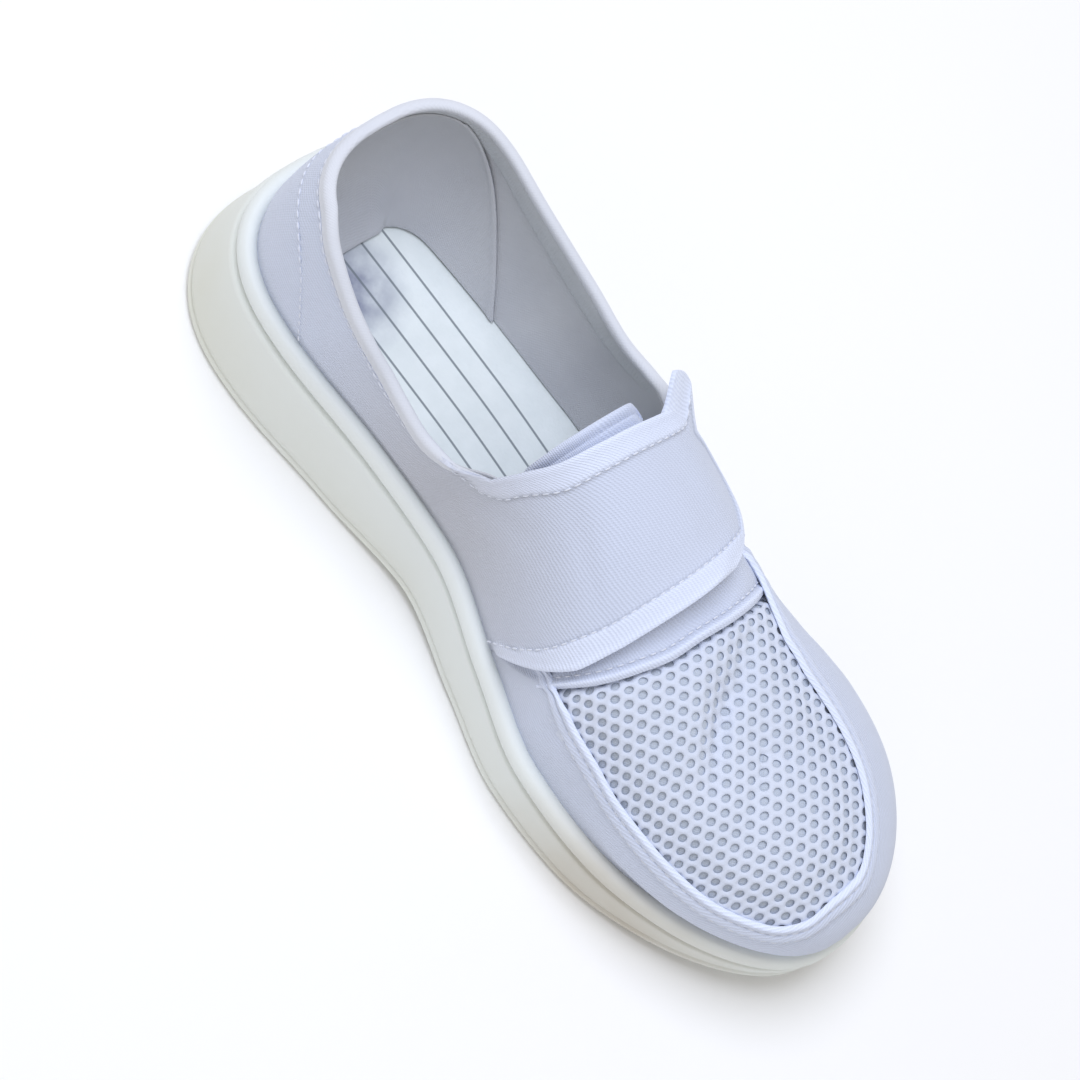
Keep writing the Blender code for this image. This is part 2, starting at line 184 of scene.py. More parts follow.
# Where pieces end: stations at the sole's rim, turns in degrees and the tongue's length in millimetres.
GUARD_INNER_END, GUARD_OUTER_END = 0.512, 0.44
TAPE_INNER_END, TAPE_OUTER_END = 0.388, 0.46
LINING_END = 0.50
VAMP_FROM, VAMP_TUCK = 0.60, 11.0
COUNTER_REACH = 0.163
TONGUE_FROM, TONGUE_TO, TONGUE_TOP_TO, TONGUE_LONG = 22.0, 146.0, 113.0, 60.0

# The tongue shows between the strap and the mesh, and its free corner behind the strap.
TongueEdge = namedtuple("TongueEdge", "turn back front")
TONGUE_EDGES = (
    TongueEdge(TONGUE_FROM, 0.425, 0.598),
    TongueEdge(34.0, 0.425, 0.612),
    TongueEdge(50.0, 0.4116, 0.632),
    TongueEdge(66.0, 0.4115, 0.647),
    TongueEdge(82.0, 0.4122, 0.658),
    TongueEdge(100.0, 0.413, 0.659),
    TongueEdge(111.0, 0.414, 0.657),
    TongueEdge(TONGUE_TO, 0.450, 0.640),
)

# The lining hangs loose: how far it comes in from the wall at the floor.
Slack = namedtuple("Slack", "station medial lateral")
LINING_SLACK = (
    Slack(0.00, 21.0, 21.0),
    Slack(0.06, 16.0, 18.0),
    Slack(0.14, 8.0, 12.0),
    Slack(0.24, 4.0, 9.0),
    Slack(0.40, 3.0, 7.0),
    Slack(0.60, 2.0, 3.0),
)

# The counter's oval pocket inside the heel: how far its edge reaches at a share of the height.
Pocket = namedtuple("Pocket", "share reach")
POCKET = (
    Pocket(0.0, 0.25),
    Pocket(0.33, 0.20),
    Pocket(0.65, 0.145),
    Pocket(0.85, 0.09),
    Pocket(1.0, 0.03),
)

# The row of stitches that holds the heel counter, outside.
CounterRow = namedtuple("CounterRow", "station height")
COUNTER_ROW = (
    CounterRow(0.0, 62.0),
    CounterRow(0.032, 64.5),
    CounterRow(0.0645, 63.3),
    CounterRow(0.112, 56.6),
    CounterRow(0.14, 47.5),
    CounterRow(COUNTER_REACH, 37.0),
)

# The sole's side, from the tread's edge over the lip, the groove and the bead down into the cup. The height
# is a share of the way from tread to rim, with a rise on top.
SideStep = namedtuple("SideStep", "outset flares share rise")
SOLE_SIDE = (
    SideStep(-3.2, 1.0, 0.0, 0.0),
    SideStep(-2.2, 1.0, 0.0, 0.05),
    SideStep(-1.0, 1.0, 0.0, 0.3),
    SideStep(-0.2, 1.0, 0.0, 0.85),
    SideStep(0.25, 1.0, 0.0, 1.5),
    SideStep(0.3, 1.0, 0.0, 2.2),
    SideStep(0.05, 1.0, 0.0, 2.7),
    SideStep(-0.4, 1.0, 0.0, 3.05),
    SideStep(-0.4, 1.0, 0.0, 3.5),
    SideStep(-0.05, 0.98, 0.0, 4.0),
    SideStep(0.15, 0.92, 0.0, 5.2),
    SideStep(0.3, 0.62, 0.40, 0.0),
    SideStep(0.35, 0.3, 1.0, -7.6),
    SideStep(0.35, 0.2, 1.0, -6.6),
    SideStep(0.1, 0.15, 1.0, -6.1),
    SideStep(-0.8, 0.1, 1.0, -5.8),
    SideStep(-1.7, 0.05, 1.0, -5.45),
    SideStep(-1.5, 0.0, 1.0, -5.0),
    SideStep(-0.2, 0.0, 1.0, -4.5),
    SideStep(0.4, 0.0, 1.0, -3.9),
    SideStep(0.65, 0.0, 1.0, -3.0),
    SideStep(0.6, 0.0, 1.0, -2.1),
    SideStep(0.25, 0.0, 1.0, -1.1),
    SideStep(-0.4, 0.0, 1.0, -0.35),
    SideStep(-1.3, 0.0, 1.0, 0.05),
    SideStep(-2.4, 0.0, 1.0, 0.1),
    SideStep(-3.4, 0.0, 1.0, -0.2),
    SideStep(-4.3, 0.0, 1.0, -0.8),
    SideStep(-4.3, 0.0, 1.0, -CUP_DEPTH),
)
GROOVE_WIDTH, GROOVE_DEEP, GROOVE_BORDER = 3.2, 2.6, 10.0
GROOVE_STATIONS = (0.10, 0.155, 0.21, 0.265, 0.575, 0.625, 0.675, 0.725, 0.775, 0.825, 0.875)

# Soft troughs (deep below zero) and ridges that wear has left in the cloth, each from one place to another.
Crease = namedtuple("Crease", "station turn to_station to_turn width deep")
CREASES = (
    Crease(0.585, 20.0, 0.625, 44.0, 4.5, -0.7),
    Crease(0.625, 18.0, 0.66, 30.0, 6.0, -0.5),
    Crease(0.70, 14.0, 0.73, 24.0, 7.0, -0.4),
    Crease(0.36, 12.0, 0.47, 40.0, 7.0, -0.6),
    Crease(0.22, 12.0, 0.30, 30.0, 8.0, -0.5),
    Crease(0.46, 64.0, 0.58, 58.0, 7.0, -0.5),
    Crease(0.45, 104.0, 0.60, 112.0, 8.0, -0.5),
    Crease(0.30, 165.0, 0.40, 140.0, 7.0, -0.7),
    Crease(0.60, 165.0, 0.66, 150.0, 6.0, -0.6),
    Crease(0.10, 10.0, 0.06, 40.0, 6.0, -0.4),
)
MESH_CREASES = (
    Crease(0.675, 108.0, 0.825, 70.0, 7.5, -3.2),
    Crease(0.66, 92.0, 0.775, 66.0, 8.0, 1.6),
    Crease(0.76, 112.0, 0.84, 100.0, 8.0, 0.9),
    Crease(0.90, 60.0, 0.93, 100.0, 9.0, -0.8),
)


def linear(code):
    """An sRGB hex colour as the linear numbers that shaders take."""
    parts = [int(code[i:i + 2], 16) / 255 for i in (1, 3, 5)]
    return tuple(p / 12.92 if p <= 0.04045 else ((p + 0.055) / 1.055) ** 2.4 for p in parts)


def opaque(colour):
    """A hex colour or a colour property as the four numbers that sockets take."""
    return (*(linear(colour) if isinstance(colour, str) else colour), 1.0)


def through(table, name, at):
    """Reads one column of a table at places, on a smooth curve that doesn't overshoot its rows."""
    places = np.array([row[0] for row in table], float)
    values = np.array([getattr(row, name) for row in table], float)
    at = np.clip(at, places[0], places[-1])
    k = np.clip(np.searchsorted(places, at, side="right") - 1, 0, len(places) - 2)
    slopes = np.diff(values) / np.diff(places)
    before, after = slopes[:-1], slopes[1:]
    turning = before * after > 0
    inner = np.where(turning, 2 * before * after / np.where(turning, before + after, 1.0), 0.0)
    tangents = np.concatenate((slopes[:1], inner, slopes[-1:]))
    span = np.diff(places)[k]
    u = (at - places[k]) / span
    return (values[k] * (1 + 2 * u) * (1 - u) ** 2 + values[k + 1] * u * u * (3 - 2 * u)
            + span * (tangents[k] * u * (1 - u) ** 2 - tangents[k + 1] * u * u * (1 - u)))


def ease(value):
    """Goes smoothly from 0 to 1 as the value does."""
    value = np.clip(value, 0.0, 1.0)
    return value * value * (3 - 2 * value)


def hump(value):
    """A soft bump of height 1 at 0, which is gone past 1."""
    return np.exp(-3.0 * np.square(value))


def round_ends(station):
    """The share of the half width that the round heel and toe leave at a station."""
    heel = np.clip(1 - station / HEEL_ROUND, 0.0, 1.0)
    toe = np.clip((station - 1 + TOE_ROUND) / TOE_ROUND, 0.0, 1.0)
    return (1 - heel ** HEEL_POWER) ** (1 / HEEL_POWER) * (1 - toe ** TOE_POWER) ** (1 / TOE_POWER)


def axis(station):
    """The middle line in plan, which swings sideways towards the toe."""
    swing = TOE_SWING * ease((station - SWING_FROM) / (1 - SWING_FROM))
    return np.stack((CENTRE_X + swing, CENTRE_Y + LENGTH * (0.5 - station)), -1)


def ring_angle(station, lateral):
    """The angle round the outline, from the heel along the inner side to the toe and back."""
    angle = np.arccos(1 - 2 * np.clip(station, 0.0, 1.0))
    return np.where(lateral, 2 * math.pi - angle, angle)


def outline(angle):
    """Points of the rim's outline in plan."""
    station = (1 - np.cos(angle)) / 2
    lateral = np.sin(angle) < 0
    half = np.where(lateral, through(OUTLINE, "lateral", station), -through(OUTLINE, "medial", station))
    return axis(station) + np.stack((half * round_ends(station), np.zeros_like(half)), -1)


def outward(angle):
    """The outline's outward direction in plan."""
    along = outline(angle + OUTLINE_PROBE) - outline(angle - OUTLINE_PROBE)
    out = np.stack((along[..., 1], -along[..., 0]), -1)
    return out / np.linalg.norm(out, axis=-1, keepdims=True)


def edge(angle, outset):
    """Points of the outline moved outwards."""
    return outline(angle) + outward(angle) * np.asarray(outset)[..., None]


def spine(station):
    """The station on the ridge that a section of the last leans to."""
    reach, span = SPINE_TOE_END - SPINE_TOE_FREE, 1 - SPINE_TOE_FREE
    toe = np.clip(1 - (station - SPINE_TOE_FREE) / span, 0.0, 1.0)
    heel_reach = SPINE_HEEL_FREE - SPINE_HEEL_END
    heel = np.clip(station / SPINE_HEEL_FREE, 0.0, 1.0)
    forward = SPINE_TOE_FREE + reach * (1 - toe ** (span / reach))
    backward = SPINE_HEEL_FREE - heel_reach * (1 - heel ** (SPINE_HEEL_FREE / heel_reach))
    return np.where(station > SPINE_TOE_FREE, forward, np.where(station < SPINE_HEEL_FREE, backward, station))


def section_heights(station, offset):
    """The base and the top of the last's section at a station."""
    low = through(LEVELS, "rim", station) - CUP_DEPTH + BASE_CLEAR
    return low, through(SECTIONS, "ridge", spine(station)) + offset


def lift_at(station, height, offset=0.0):
    """The lift in degrees at which a layer of the last reaches a height."""
    low, high = section_heights(station, offset)
    share = np.clip((height - low) / (high - low), 0.0, 0.999)
    return np.degrees(np.arcsin(share ** (through(SECTIONS, "fullness", station) / 2)))


def form(station, turn, offset=0.0):
    """Points of the last's surface, or of a layer that lies further out, in metres."""
    station, turn, offset = np.broadcast_arrays(station, turn, offset)
    lateral = turn > 90
    lift = np.radians(np.where(lateral, 180 - turn, turn))
    rim_lift = np.radians(lift_at(station, through(LEVELS, "rim", station)))
    above_rim = np.clip((lift - rim_lift) / (math.pi / 2 - rim_lift), 0.0, 1.0)
    angle = ring_angle(station, lateral)
    middle = axis(spine(station))
    power = 2 / through(SECTIONS, "fullness", station)
    across = np.clip(np.cos(lift), 0.0, 1.0) ** power
    plan = middle + (edge(angle, offset - FEATHER) - middle) * across[..., None]
    swell = np.where(lateral, through(SECTIONS, "lateral_swell", station),
                     through(SECTIONS, "medial_swell", station))
    # Round the toe the canvas puffs out over the sole's bead.
    puff = TOE_PUFF * ease((station - PUFF_FROM) / (PUFF_FULL - PUFF_FROM))
    puff = puff * ease(above_rim / 0.10) * (1 - ease((above_rim - 0.12) / 0.5))
    plan = plan + outward(angle) * (swell * np.sin(math.pi * above_rim) + puff)[..., None]
    low, high = section_heights(station, offset)
    height = low + (high - low) * np.clip(np.sin(lift), 0.0, 1.0) ** power
    return np.concatenate((plan, height[..., None]), -1) * MM


def free_height(station, lateral):
    """The height of the upper's free edge: collar, throat and the apron round the vamp."""
    return np.where(lateral, through(FREE_EDGE, "lateral", station), through(FREE_EDGE, "medial", station))


def side_turn(lift, lateral):
    """The turn of a lift on one side of the foot."""
    return np.where(lateral, 180 - lift, lift)


def leaned(station, share):
    """A column of the upper leans with the quarters' seam, at a share of the way up to the free edge."""
    lean = SEAM_LEAN * np.exp(-((station - SEAM_STATION) / SEAM_REACH) ** 2)
    share = np.clip(share, 0.0, 1.0)
    return np.clip(station + lean * (share + 0.5 * share * (1 - share)), 0.0, 1.0)


def unleaned(station):
    """The foot of the column whose top is at a station."""
    feet = np.linspace(0.0, 1.0, 801)
    return np.interp(station, leaned(feet, 1.0), feet)


def creased(station, turn, table=CREASES):
    """How far the worn cloth stands off its even form."""
    across, up = np.asarray(station) * LENGTH, np.asarray(turn) * MM_PER_DEGREE
    total = np.zeros(np.broadcast(across, up).shape)
    for crease in table:
        start = np.array((crease.station * LENGTH, crease.turn * MM_PER_DEGREE))
        run = np.array((crease.to_station * LENGTH, crease.to_turn * MM_PER_DEGREE)) - start
        along = np.clip(((across - start[0]) * run[0] + (up - start[1]) * run[1]) / run.dot(run), 0.0, 1.0)
        away = np.hypot(across - start[0] - along * run[0], up - start[1] - along * run[1])
        total += crease.deep * hump(away / crease.width) * np.sin(math.pi * (0.15 + 0.7 * along))
    return total


def upright(base, lateral, share, offset, drop=0.0):
    """Points of a wall of the upper: share 0 at the sole's rim, 1 at the free edge and -1 inside the cup."""
    station = leaned(base, share)
    at_rim = lift_at(station, through(LEVELS, "rim", station) + GAP)
    top = lift_at(station, free_height(station, lateral) - drop)
    lift = at_rim * (1 + np.minimum(share, 0.0)) + (top - at_rim) * np.maximum(share, 0.0)
    turn = side_turn(lift, lateral)
    return form(station, turn, offset + creased(station, turn) * ease(share * 3))


def rows_below(base, lateral, near, count, drop=0.0, cap=1.0):
    """Shares of the way up at set distances below an edge, which may be capped, then evenly to the rim."""
    shares = np.linspace(1.0, 0.0, 60)[:, None] * np.broadcast_to(cap, base.shape)
    steps = np.linalg.norm(np.diff(upright(base, lateral, shares, 0.0, drop), axis=0), axis=-1) / MM
    down = np.concatenate((np.zeros((1, len(base))), np.cumsum(steps, 0)))
    rows = np.empty((len(near) + count, len(base)))
    below = np.empty_like(rows)
    for i in range(len(base)):
        below[:, i] = np.concatenate((near, np.linspace(near[-1], down[-1, i], count + 1)[1:]))
        rows[:, i] = np.interp(below[:, i], down[:, i], shares[:, i])
    return np.concatenate((rows, np.full((1, len(base)), -0.8))), np.concatenate((below, below[-1:] + 6.0))


def paced(points):
    """The length along a path of points, in millimetres."""
    steps = np.linalg.norm(np.diff(points, axis=0), axis=-1) / MM
    return np.concatenate(((0.0,), np.cumsum(steps)))


def flat_places(points, across, start=0.0):
    """A sheet's places laid flat in millimetres: along the foot, and the length from the first row."""
    steps = np.linalg.norm(np.diff(points, axis=0), axis=-1) / MM
    down = np.concatenate((np.zeros((1, points.shape[1])), np.cumsum(steps, 0))) + start
    return np.stack((np.broadcast_to(across, down.shape), down), -1)


def link(name, mesh):
    """A new object of the shoe."""
    piece = bpy.data.objects.new(name, mesh)
    bpy.data.collections["strap_shoe"].objects.link(piece)
    return piece


def cloth(name, *sheets):
    """A piece from sheets of points in rows, joined where they meet, with their flat places as its map.

    Sheets may bring painted light: above 0 painted shade where stitches pull the cloth, below 0 painted
    highlight on folds.
    """
    places, flats, faces, painted_lights = [], [], [], []
    count = 0
    for points, flat, *seam in sheets:
        rows, columns = points.shape[:2]
        corner = np.arange(rows * columns).reshape(rows, columns) + count
        quads = np.stack((corner[:-1, :-1], corner[:-1, 1:], corner[1:, 1:], corner[1:, :-1]), -1)
        first = points[:2]
        normals = np.cross(first[1, :-1] - first[0, 1:], first[0, :-1] - first[1, 1:])
        middles = (first[1, :-1] + first[0, 1:]) / 2
        inside = middles.copy()
        inside[:, 0] = CENTRE_X * MM
        inside[:, 2] = 0.02
        if (normals * (middles - inside)).sum() < 0:
            quads = quads[..., ::-1]
        faces += quads.reshape(-1, 4).tolist()
        places.append(points.reshape(-1, 3))
        flats.append(flat.reshape(-1, 2))
        shade = seam[0] if seam else 0.0
        painted_lights += np.broadcast_to(shade, (rows, columns)).ravel().tolist()
        count += rows * columns
    mesh = bpy.data.meshes.new(name)
    mesh.from_pydata(np.concatenate(places).tolist(), [], faces)
    corners = np.empty(len(mesh.loops), np.int32)
    mesh.loops.foreach_get("vertex_index", corners)
    mesh.uv_layers.new(name="cloth").data.foreach_set("uv", np.concatenate(flats)[corners].ravel())
    mesh.attributes.new("seam", "FLOAT", "POINT").data.foreach_set("value", painted_lights)
    joined = bmesh.new()
    joined.from_mesh(mesh)
    bmesh.ops.remove_doubles(joined, verts=joined.verts, dist=0.01 * MM)
    joined.to_mesh(mesh)
    joined.free()
    return link(name, mesh)


def thicken(piece, thick, rounding):
    """Gives a sheet its wall, inwards, and rounds the wall's edges."""
    wall = piece.modifiers.new("wall", "SOLIDIFY")
    wall.thickness = thick * MM
    wall.offset = -1.0
    soft = piece.modifiers.new("edges", "BEVEL")
    soft.width = rounding * MM
    soft.segments = 2
    soft.limit_method = "ANGLE"
    soft.angle_limit = math.radians(50)
    soft.harden_normals = False


def settle(piece, finish, stands_for=()):
    """Makes a piece's modifiers its own mesh, gives it its finish and sets it on the shoe."""
    seen = bpy.context.evaluated_depsgraph_get()
    made = piece.evaluated_get(seen)
    mesh = bpy.data.meshes.new_from_object(made, preserve_all_data_layers=True, depsgraph=seen)
    piece.modifiers.clear()
    old, piece.data = piece.data, mesh
    bpy.data.meshes.remove(old)
    mesh.name = piece.name
    mesh.materials.clear()
    mesh.materials.append(finish)
    mesh.shade_smooth()
    mesh.set_sharp_from_angle(angle=math.radians(55))
    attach(piece, "root")
    if stands_for:
        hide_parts(*stands_for)
    return piece


def add(tree, kind, inputs=None, out=0, **settings):
    """Adds a node with its settings and gives one output, or all. An input is a value or an output."""
    made = tree.nodes.new(kind)
    for name, value in settings.items():
        setattr(made, name, value)
    for name, value in (inputs or {}).items():
        if isinstance(value, bpy.types.NodeSocket):
            tree.links.new(value, made.inputs[name])
        else:
            made.inputs[name].default_value = value
    return made.outputs if out is None else made.outputs[out]


def new_finish(name, roughness, sheen=0.0):
    """An empty material with its shader, ready for its nodes."""
    finish = bpy.data.materials.get(name)
    if finish:
        return finish, None, None
    finish = bpy.data.materials.new(name)
    finish.use_nodes = True
    shader = finish.node_tree.nodes["Principled BSDF"]
    shader.inputs["Roughness"].default_value = roughness
    shader.inputs["Sheen Weight"].default_value = sheen
    shader.inputs["Sheen Roughness"].default_value = 0.6
    return finish, finish.node_tree, shader


def twill_canvas():
    """Bleached cotton drill, woven in steep twill: matt, with fine diagonal ribs and a faint lilac cast."""
    colours = bpy.context.scene.shoe_cloth
    finish, tree, shader = new_finish("bleached_cotton_drill", 0.88, 0.25)
    if tree is None:
        return finish
    flat = add(tree, "ShaderNodeUVMap", uv_map="cloth")
    place = add(tree, "ShaderNodeTexCoord", out="Object")
    # Real drill has about 0.7 mm between ribs; 1.0 mm is drawn, so that the ribs still show in the render.
    pitch = colours.twill_pitch / MM
    slant = math.radians(-20)
    warp = (-math.sin(slant) / pitch, math.cos(slant) / pitch, 0.0)
    turns = add(tree, "ShaderNodeVectorMath", {0: warp, 1: flat}, out="Value", operation="DOT_PRODUCT")
    slubs = add(tree, "ShaderNodeTexNoise", {"Vector": place, "Scale": 420.0, "Detail": 2.0})
    wander = add(tree, "ShaderNodeMath", {0: slubs, 1: 0.7, 2: turns}, operation="MULTIPLY_ADD")
    phase = add(tree, "ShaderNodeMath", {0: wander, 1: 2 * math.pi}, operation="MULTIPLY")
    rib = add(tree, "ShaderNodeMath", {0: phase}, operation="SINE")
    weft = (1.6 / pitch, 0.5 / pitch, 0.0)
    picks = add(tree, "ShaderNodeVectorMath", {0: weft, 1: flat}, out="Value", operation="DOT_PRODUCT")
    crossing = add(tree, "ShaderNodeMath", {0: picks, 1: 2 * math.pi}, operation="MULTIPLY")
    pick = add(tree, "ShaderNodeMath", {0: crossing}, operation="SINE")
    weave = add(tree, "ShaderNodeMath", {0: pick, 1: 0.35, 2: rib}, operation="MULTIPLY_ADD")
    height = add(tree, "ShaderNodeMath", {0: slubs, 1: 1.1, 2: weave}, operation="MULTIPLY_ADD")
    bump = add(tree, "ShaderNodeBump", {"Height": height, "Strength": 0.45, "Distance": 0.12 * MM})
    patchy = {"Vector": place, "Scale": 28.0, "Detail": 3.0, "Roughness": 0.6}
    mottle = add(tree, "ShaderNodeTexNoise", patchy)
    base = add(tree, "ShaderNodeMix", {0: mottle, 6: opaque(colours.canvas_colour),
                                       7: opaque(colours.canvas_shade)}, data_type="RGBA", out=2)
    # Painted shade greys the inner side from the collar to the strap.
    spot = (-0.042, 0.024, 0.036)
    far = add(tree, "ShaderNodeVectorMath", {0: place, 1: spot}, out="Value", operation="DISTANCE")
    painted_shade = add(tree, "ShaderNodeMapRange", {0: far, 1: 0.056, 2: 0.015, 3: 0.0, 4: 0.85})
    base = add(tree, "ShaderNodeMix", {0: painted_shade, 6: base, 7: opaque(colours.canvas_painted_shade)},
               data_type="RGBA", out=2)
    # Painted shade in the twill's valleys, and a faint painted highlight on its ribs.
    weave_shade = add(tree, "ShaderNodeMapRange", {0: weave, 1: -1.3, 2: 1.3, 3: 0.91, 4: 1.03})
    # Painted light that the pieces bring: shade along rows of stitches, highlight on folds and edges.
    seam = add(tree, "ShaderNodeAttribute", attribute_name="seam", out="Fac")
    seam_shade_and_highlight = add(tree, "ShaderNodeMapRange", {0: seam, 1: -1.0, 2: 1.0, 3: 1.25, 4: 0.75})
    shade = add(tree, "ShaderNodeMath", {0: weave_shade, 1: seam_shade_and_highlight}, operation="MULTIPLY")
    tinted = add(tree, "ShaderNodeVectorMath", {0: base, "Scale": shade}, operation="SCALE")
    tree.links.new(tinted, shader.inputs["Base Color"])
    tree.links.new(bump, shader.inputs["Normal"])
    return finish


def spun_thread():
    """Bleached polyester sewing thread, twisted and waxed: a little glossier and whiter than the canvas."""
    finish, tree, shader = new_finish("bleached_polyester_thread", 0.6, 0.2)
    if tree is None:
        return finish
    place = add(tree, "ShaderNodeTexCoord", out="Object")
    # Ply twist is about 0.4 mm long.
    twist = add(tree, "ShaderNodeTexNoise", {"Vector": place, "Scale": 2500.0, "Detail": 1.0})
    colour = add(tree, "ShaderNodeMix", {0: twist, 6: opaque("#D2D7E6"),
                                         7: opaque("#E6EAF4")}, data_type="RGBA", out=2)
    bump = add(tree, "ShaderNodeBump", {"Height": twist, "Strength": 0.4, "Distance": 0.1 * MM})
    tree.links.new(colour, shader.inputs["Base Color"])
    tree.links.new(bump, shader.inputs["Normal"])
    return finish


def woven_tape(name, pale, dark, pitch):
    """Plain-woven cotton: tapes, lining and backing differ in colour and in the count of threads."""
    finish, tree, shader = new_finish(name, 0.9, 0.2)
    if tree is None:
        return finish
    flat = add(tree, "ShaderNodeUVMap", uv_map="cloth")
    place = add(tree, "ShaderNodeTexCoord", out="Object")
    threads = []
    for way in ((1.0, 0.0, 0.0), (0.0, 1.0, 0.0)):
        run = tuple(w * 2 * math.pi / pitch for w in way)
        along = add(tree, "ShaderNodeVectorMath", {0: run, 1: flat}, out="Value", operation="DOT_PRODUCT")
        threads.append(add(tree, "ShaderNodeMath", {0: along}, operation="SINE"))
    weave = add(tree, "ShaderNodeMath", {0: threads[0], 1: threads[1]}, operation="MULTIPLY")
    fuzz = add(tree, "ShaderNodeTexNoise", {"Vector": place, "Scale": 700.0, "Detail": 2.0})
    height = add(tree, "ShaderNodeMath", {0: fuzz, 1: 1.2, 2: weave}, operation="MULTIPLY_ADD")
    bump = add(tree, "ShaderNodeBump", {"Height": height, "Strength": 0.3, "Distance": 0.12 * MM})
    mottle = add(tree, "ShaderNodeTexNoise", {"Vector": place, "Scale": 35.0, "Detail": 3.0})
    colour = add(tree, "ShaderNodeMix", {0: mottle, 6: opaque(pale), 7: opaque(dark)},
                 data_type="RGBA", out=2)
    tree.links.new(colour, shader.inputs["Base Color"])
    tree.links.new(bump, shader.inputs["Normal"])
    return finish


def knitted_mesh():
    """Polyester spacer mesh, warp knitted: soft round strands between open holes, matt with a lilac cast."""
    colours = bpy.context.scene.shoe_cloth
    finish, tree, shader = new_finish("knitted_polyester_mesh", 0.8, 0.3)
    if tree is None:
        return finish
    place = add(tree, "ShaderNodeTexCoord", out="Object")
    # Filaments lie about 0.5 mm apart.
    yarn = add(tree, "ShaderNodeTexNoise", {"Vector": place, "Scale": 1600.0, "Detail": 2.0})
    bump = add(tree, "ShaderNodeBump", {"Height": yarn, "Strength": 0.35, "Distance": 0.2 * MM})
    mottle = add(tree, "ShaderNodeTexNoise", {"Vector": place, "Scale": 30.0, "Detail": 3.0})
    colour = add(tree, "ShaderNodeMix", {0: mottle, 6: opaque(colours.mesh_colour),
                                         7: opaque("#CED6E8")}, data_type="RGBA", out=2)
    tree.links.new(colour, shader.inputs["Base Color"])
    tree.links.new(bump, shader.inputs["Normal"])
    return finish


def moulded_foam():
    """Foamed polyurethane with a moulded skin: satin, faintly pebbled, yellowed at the floor and heel."""
    colours = bpy.context.scene.shoe_sole
    finish, tree, shader = new_finish("moulded_polyurethane", 0.48)
    if tree is None:
        return finish
    place = add(tree, "ShaderNodeTexCoord", out="Object")
    split = add(tree, "ShaderNodeSeparateXYZ", {0: place}, out=None)
    low = add(tree, "ShaderNodeMapRange", {0: split["Z"], 1: 0.026, 2: 0.001, 3: 0.0, 4: 0.75})
    heel = add(tree, "ShaderNodeMapRange", {0: split["Y"], 1: 0.02, 2: 0.11, 3: 0.0, 4: 0.55})
    under = add(tree, "ShaderNodeMapRange", {0: split["Z"], 1: 0.0305, 2: 0.027, 3: 0.0, 4: 1.0})
    both = add(tree, "ShaderNodeMath", {0: heel, 1: under, 2: low}, operation="MULTIPLY_ADD")
    stain = add(tree, "ShaderNodeTexNoise", {"Vector": place, "Scale": 22.0, "Detail": 4.0})
    aged = add(tree, "ShaderNodeMath", {0: both, 1: stain}, operation="MULTIPLY", use_clamp=True)
    clean = add(tree, "ShaderNodeMix", {0: aged, 6: opaque(colours.sole_colour),
                                        7: opaque(colours.aged_colour)}, data_type="RGBA", out=2)
    # Street dust sits on the low inner side of the toe, over about 50 mm.
    spot = (-0.039, -0.086, 0.003)
    far = add(tree, "ShaderNodeVectorMath", {0: place, 1: spot}, out="Value", operation="DISTANCE")
    near = add(tree, "ShaderNodeMapRange", {0: far, 1: 0.046, 2: 0.008, 3: 0.0, 4: 1.45})
    dust = add(tree, "ShaderNodeMath", {0: near, 1: stain}, operation="MULTIPLY", use_clamp=True)
    colour = add(tree, "ShaderNodeMix", {0: dust, 6: clean, 7: opaque(colours.dust_colour)},
                 data_type="RGBA", out=2)
    # The mould's pebble is about 0.5 mm.
    pebble = add(tree, "ShaderNodeTexNoise", {"Vector": place, "Scale": 1500.0, "Detail": 1.0})
    bump = add(tree, "ShaderNodeBump", {"Height": pebble, "Strength": 0.12, "Distance": 0.1 * MM})
    rough = add(tree, "ShaderNodeMapRange", {0: stain, 3: 0.42, 4: 0.58})
    tree.links.new(colour, shader.inputs["Base Color"])
    tree.links.new(rough, shader.inputs["Roughness"])
    tree.links.new(bump, shader.inputs["Normal"])
    return finish


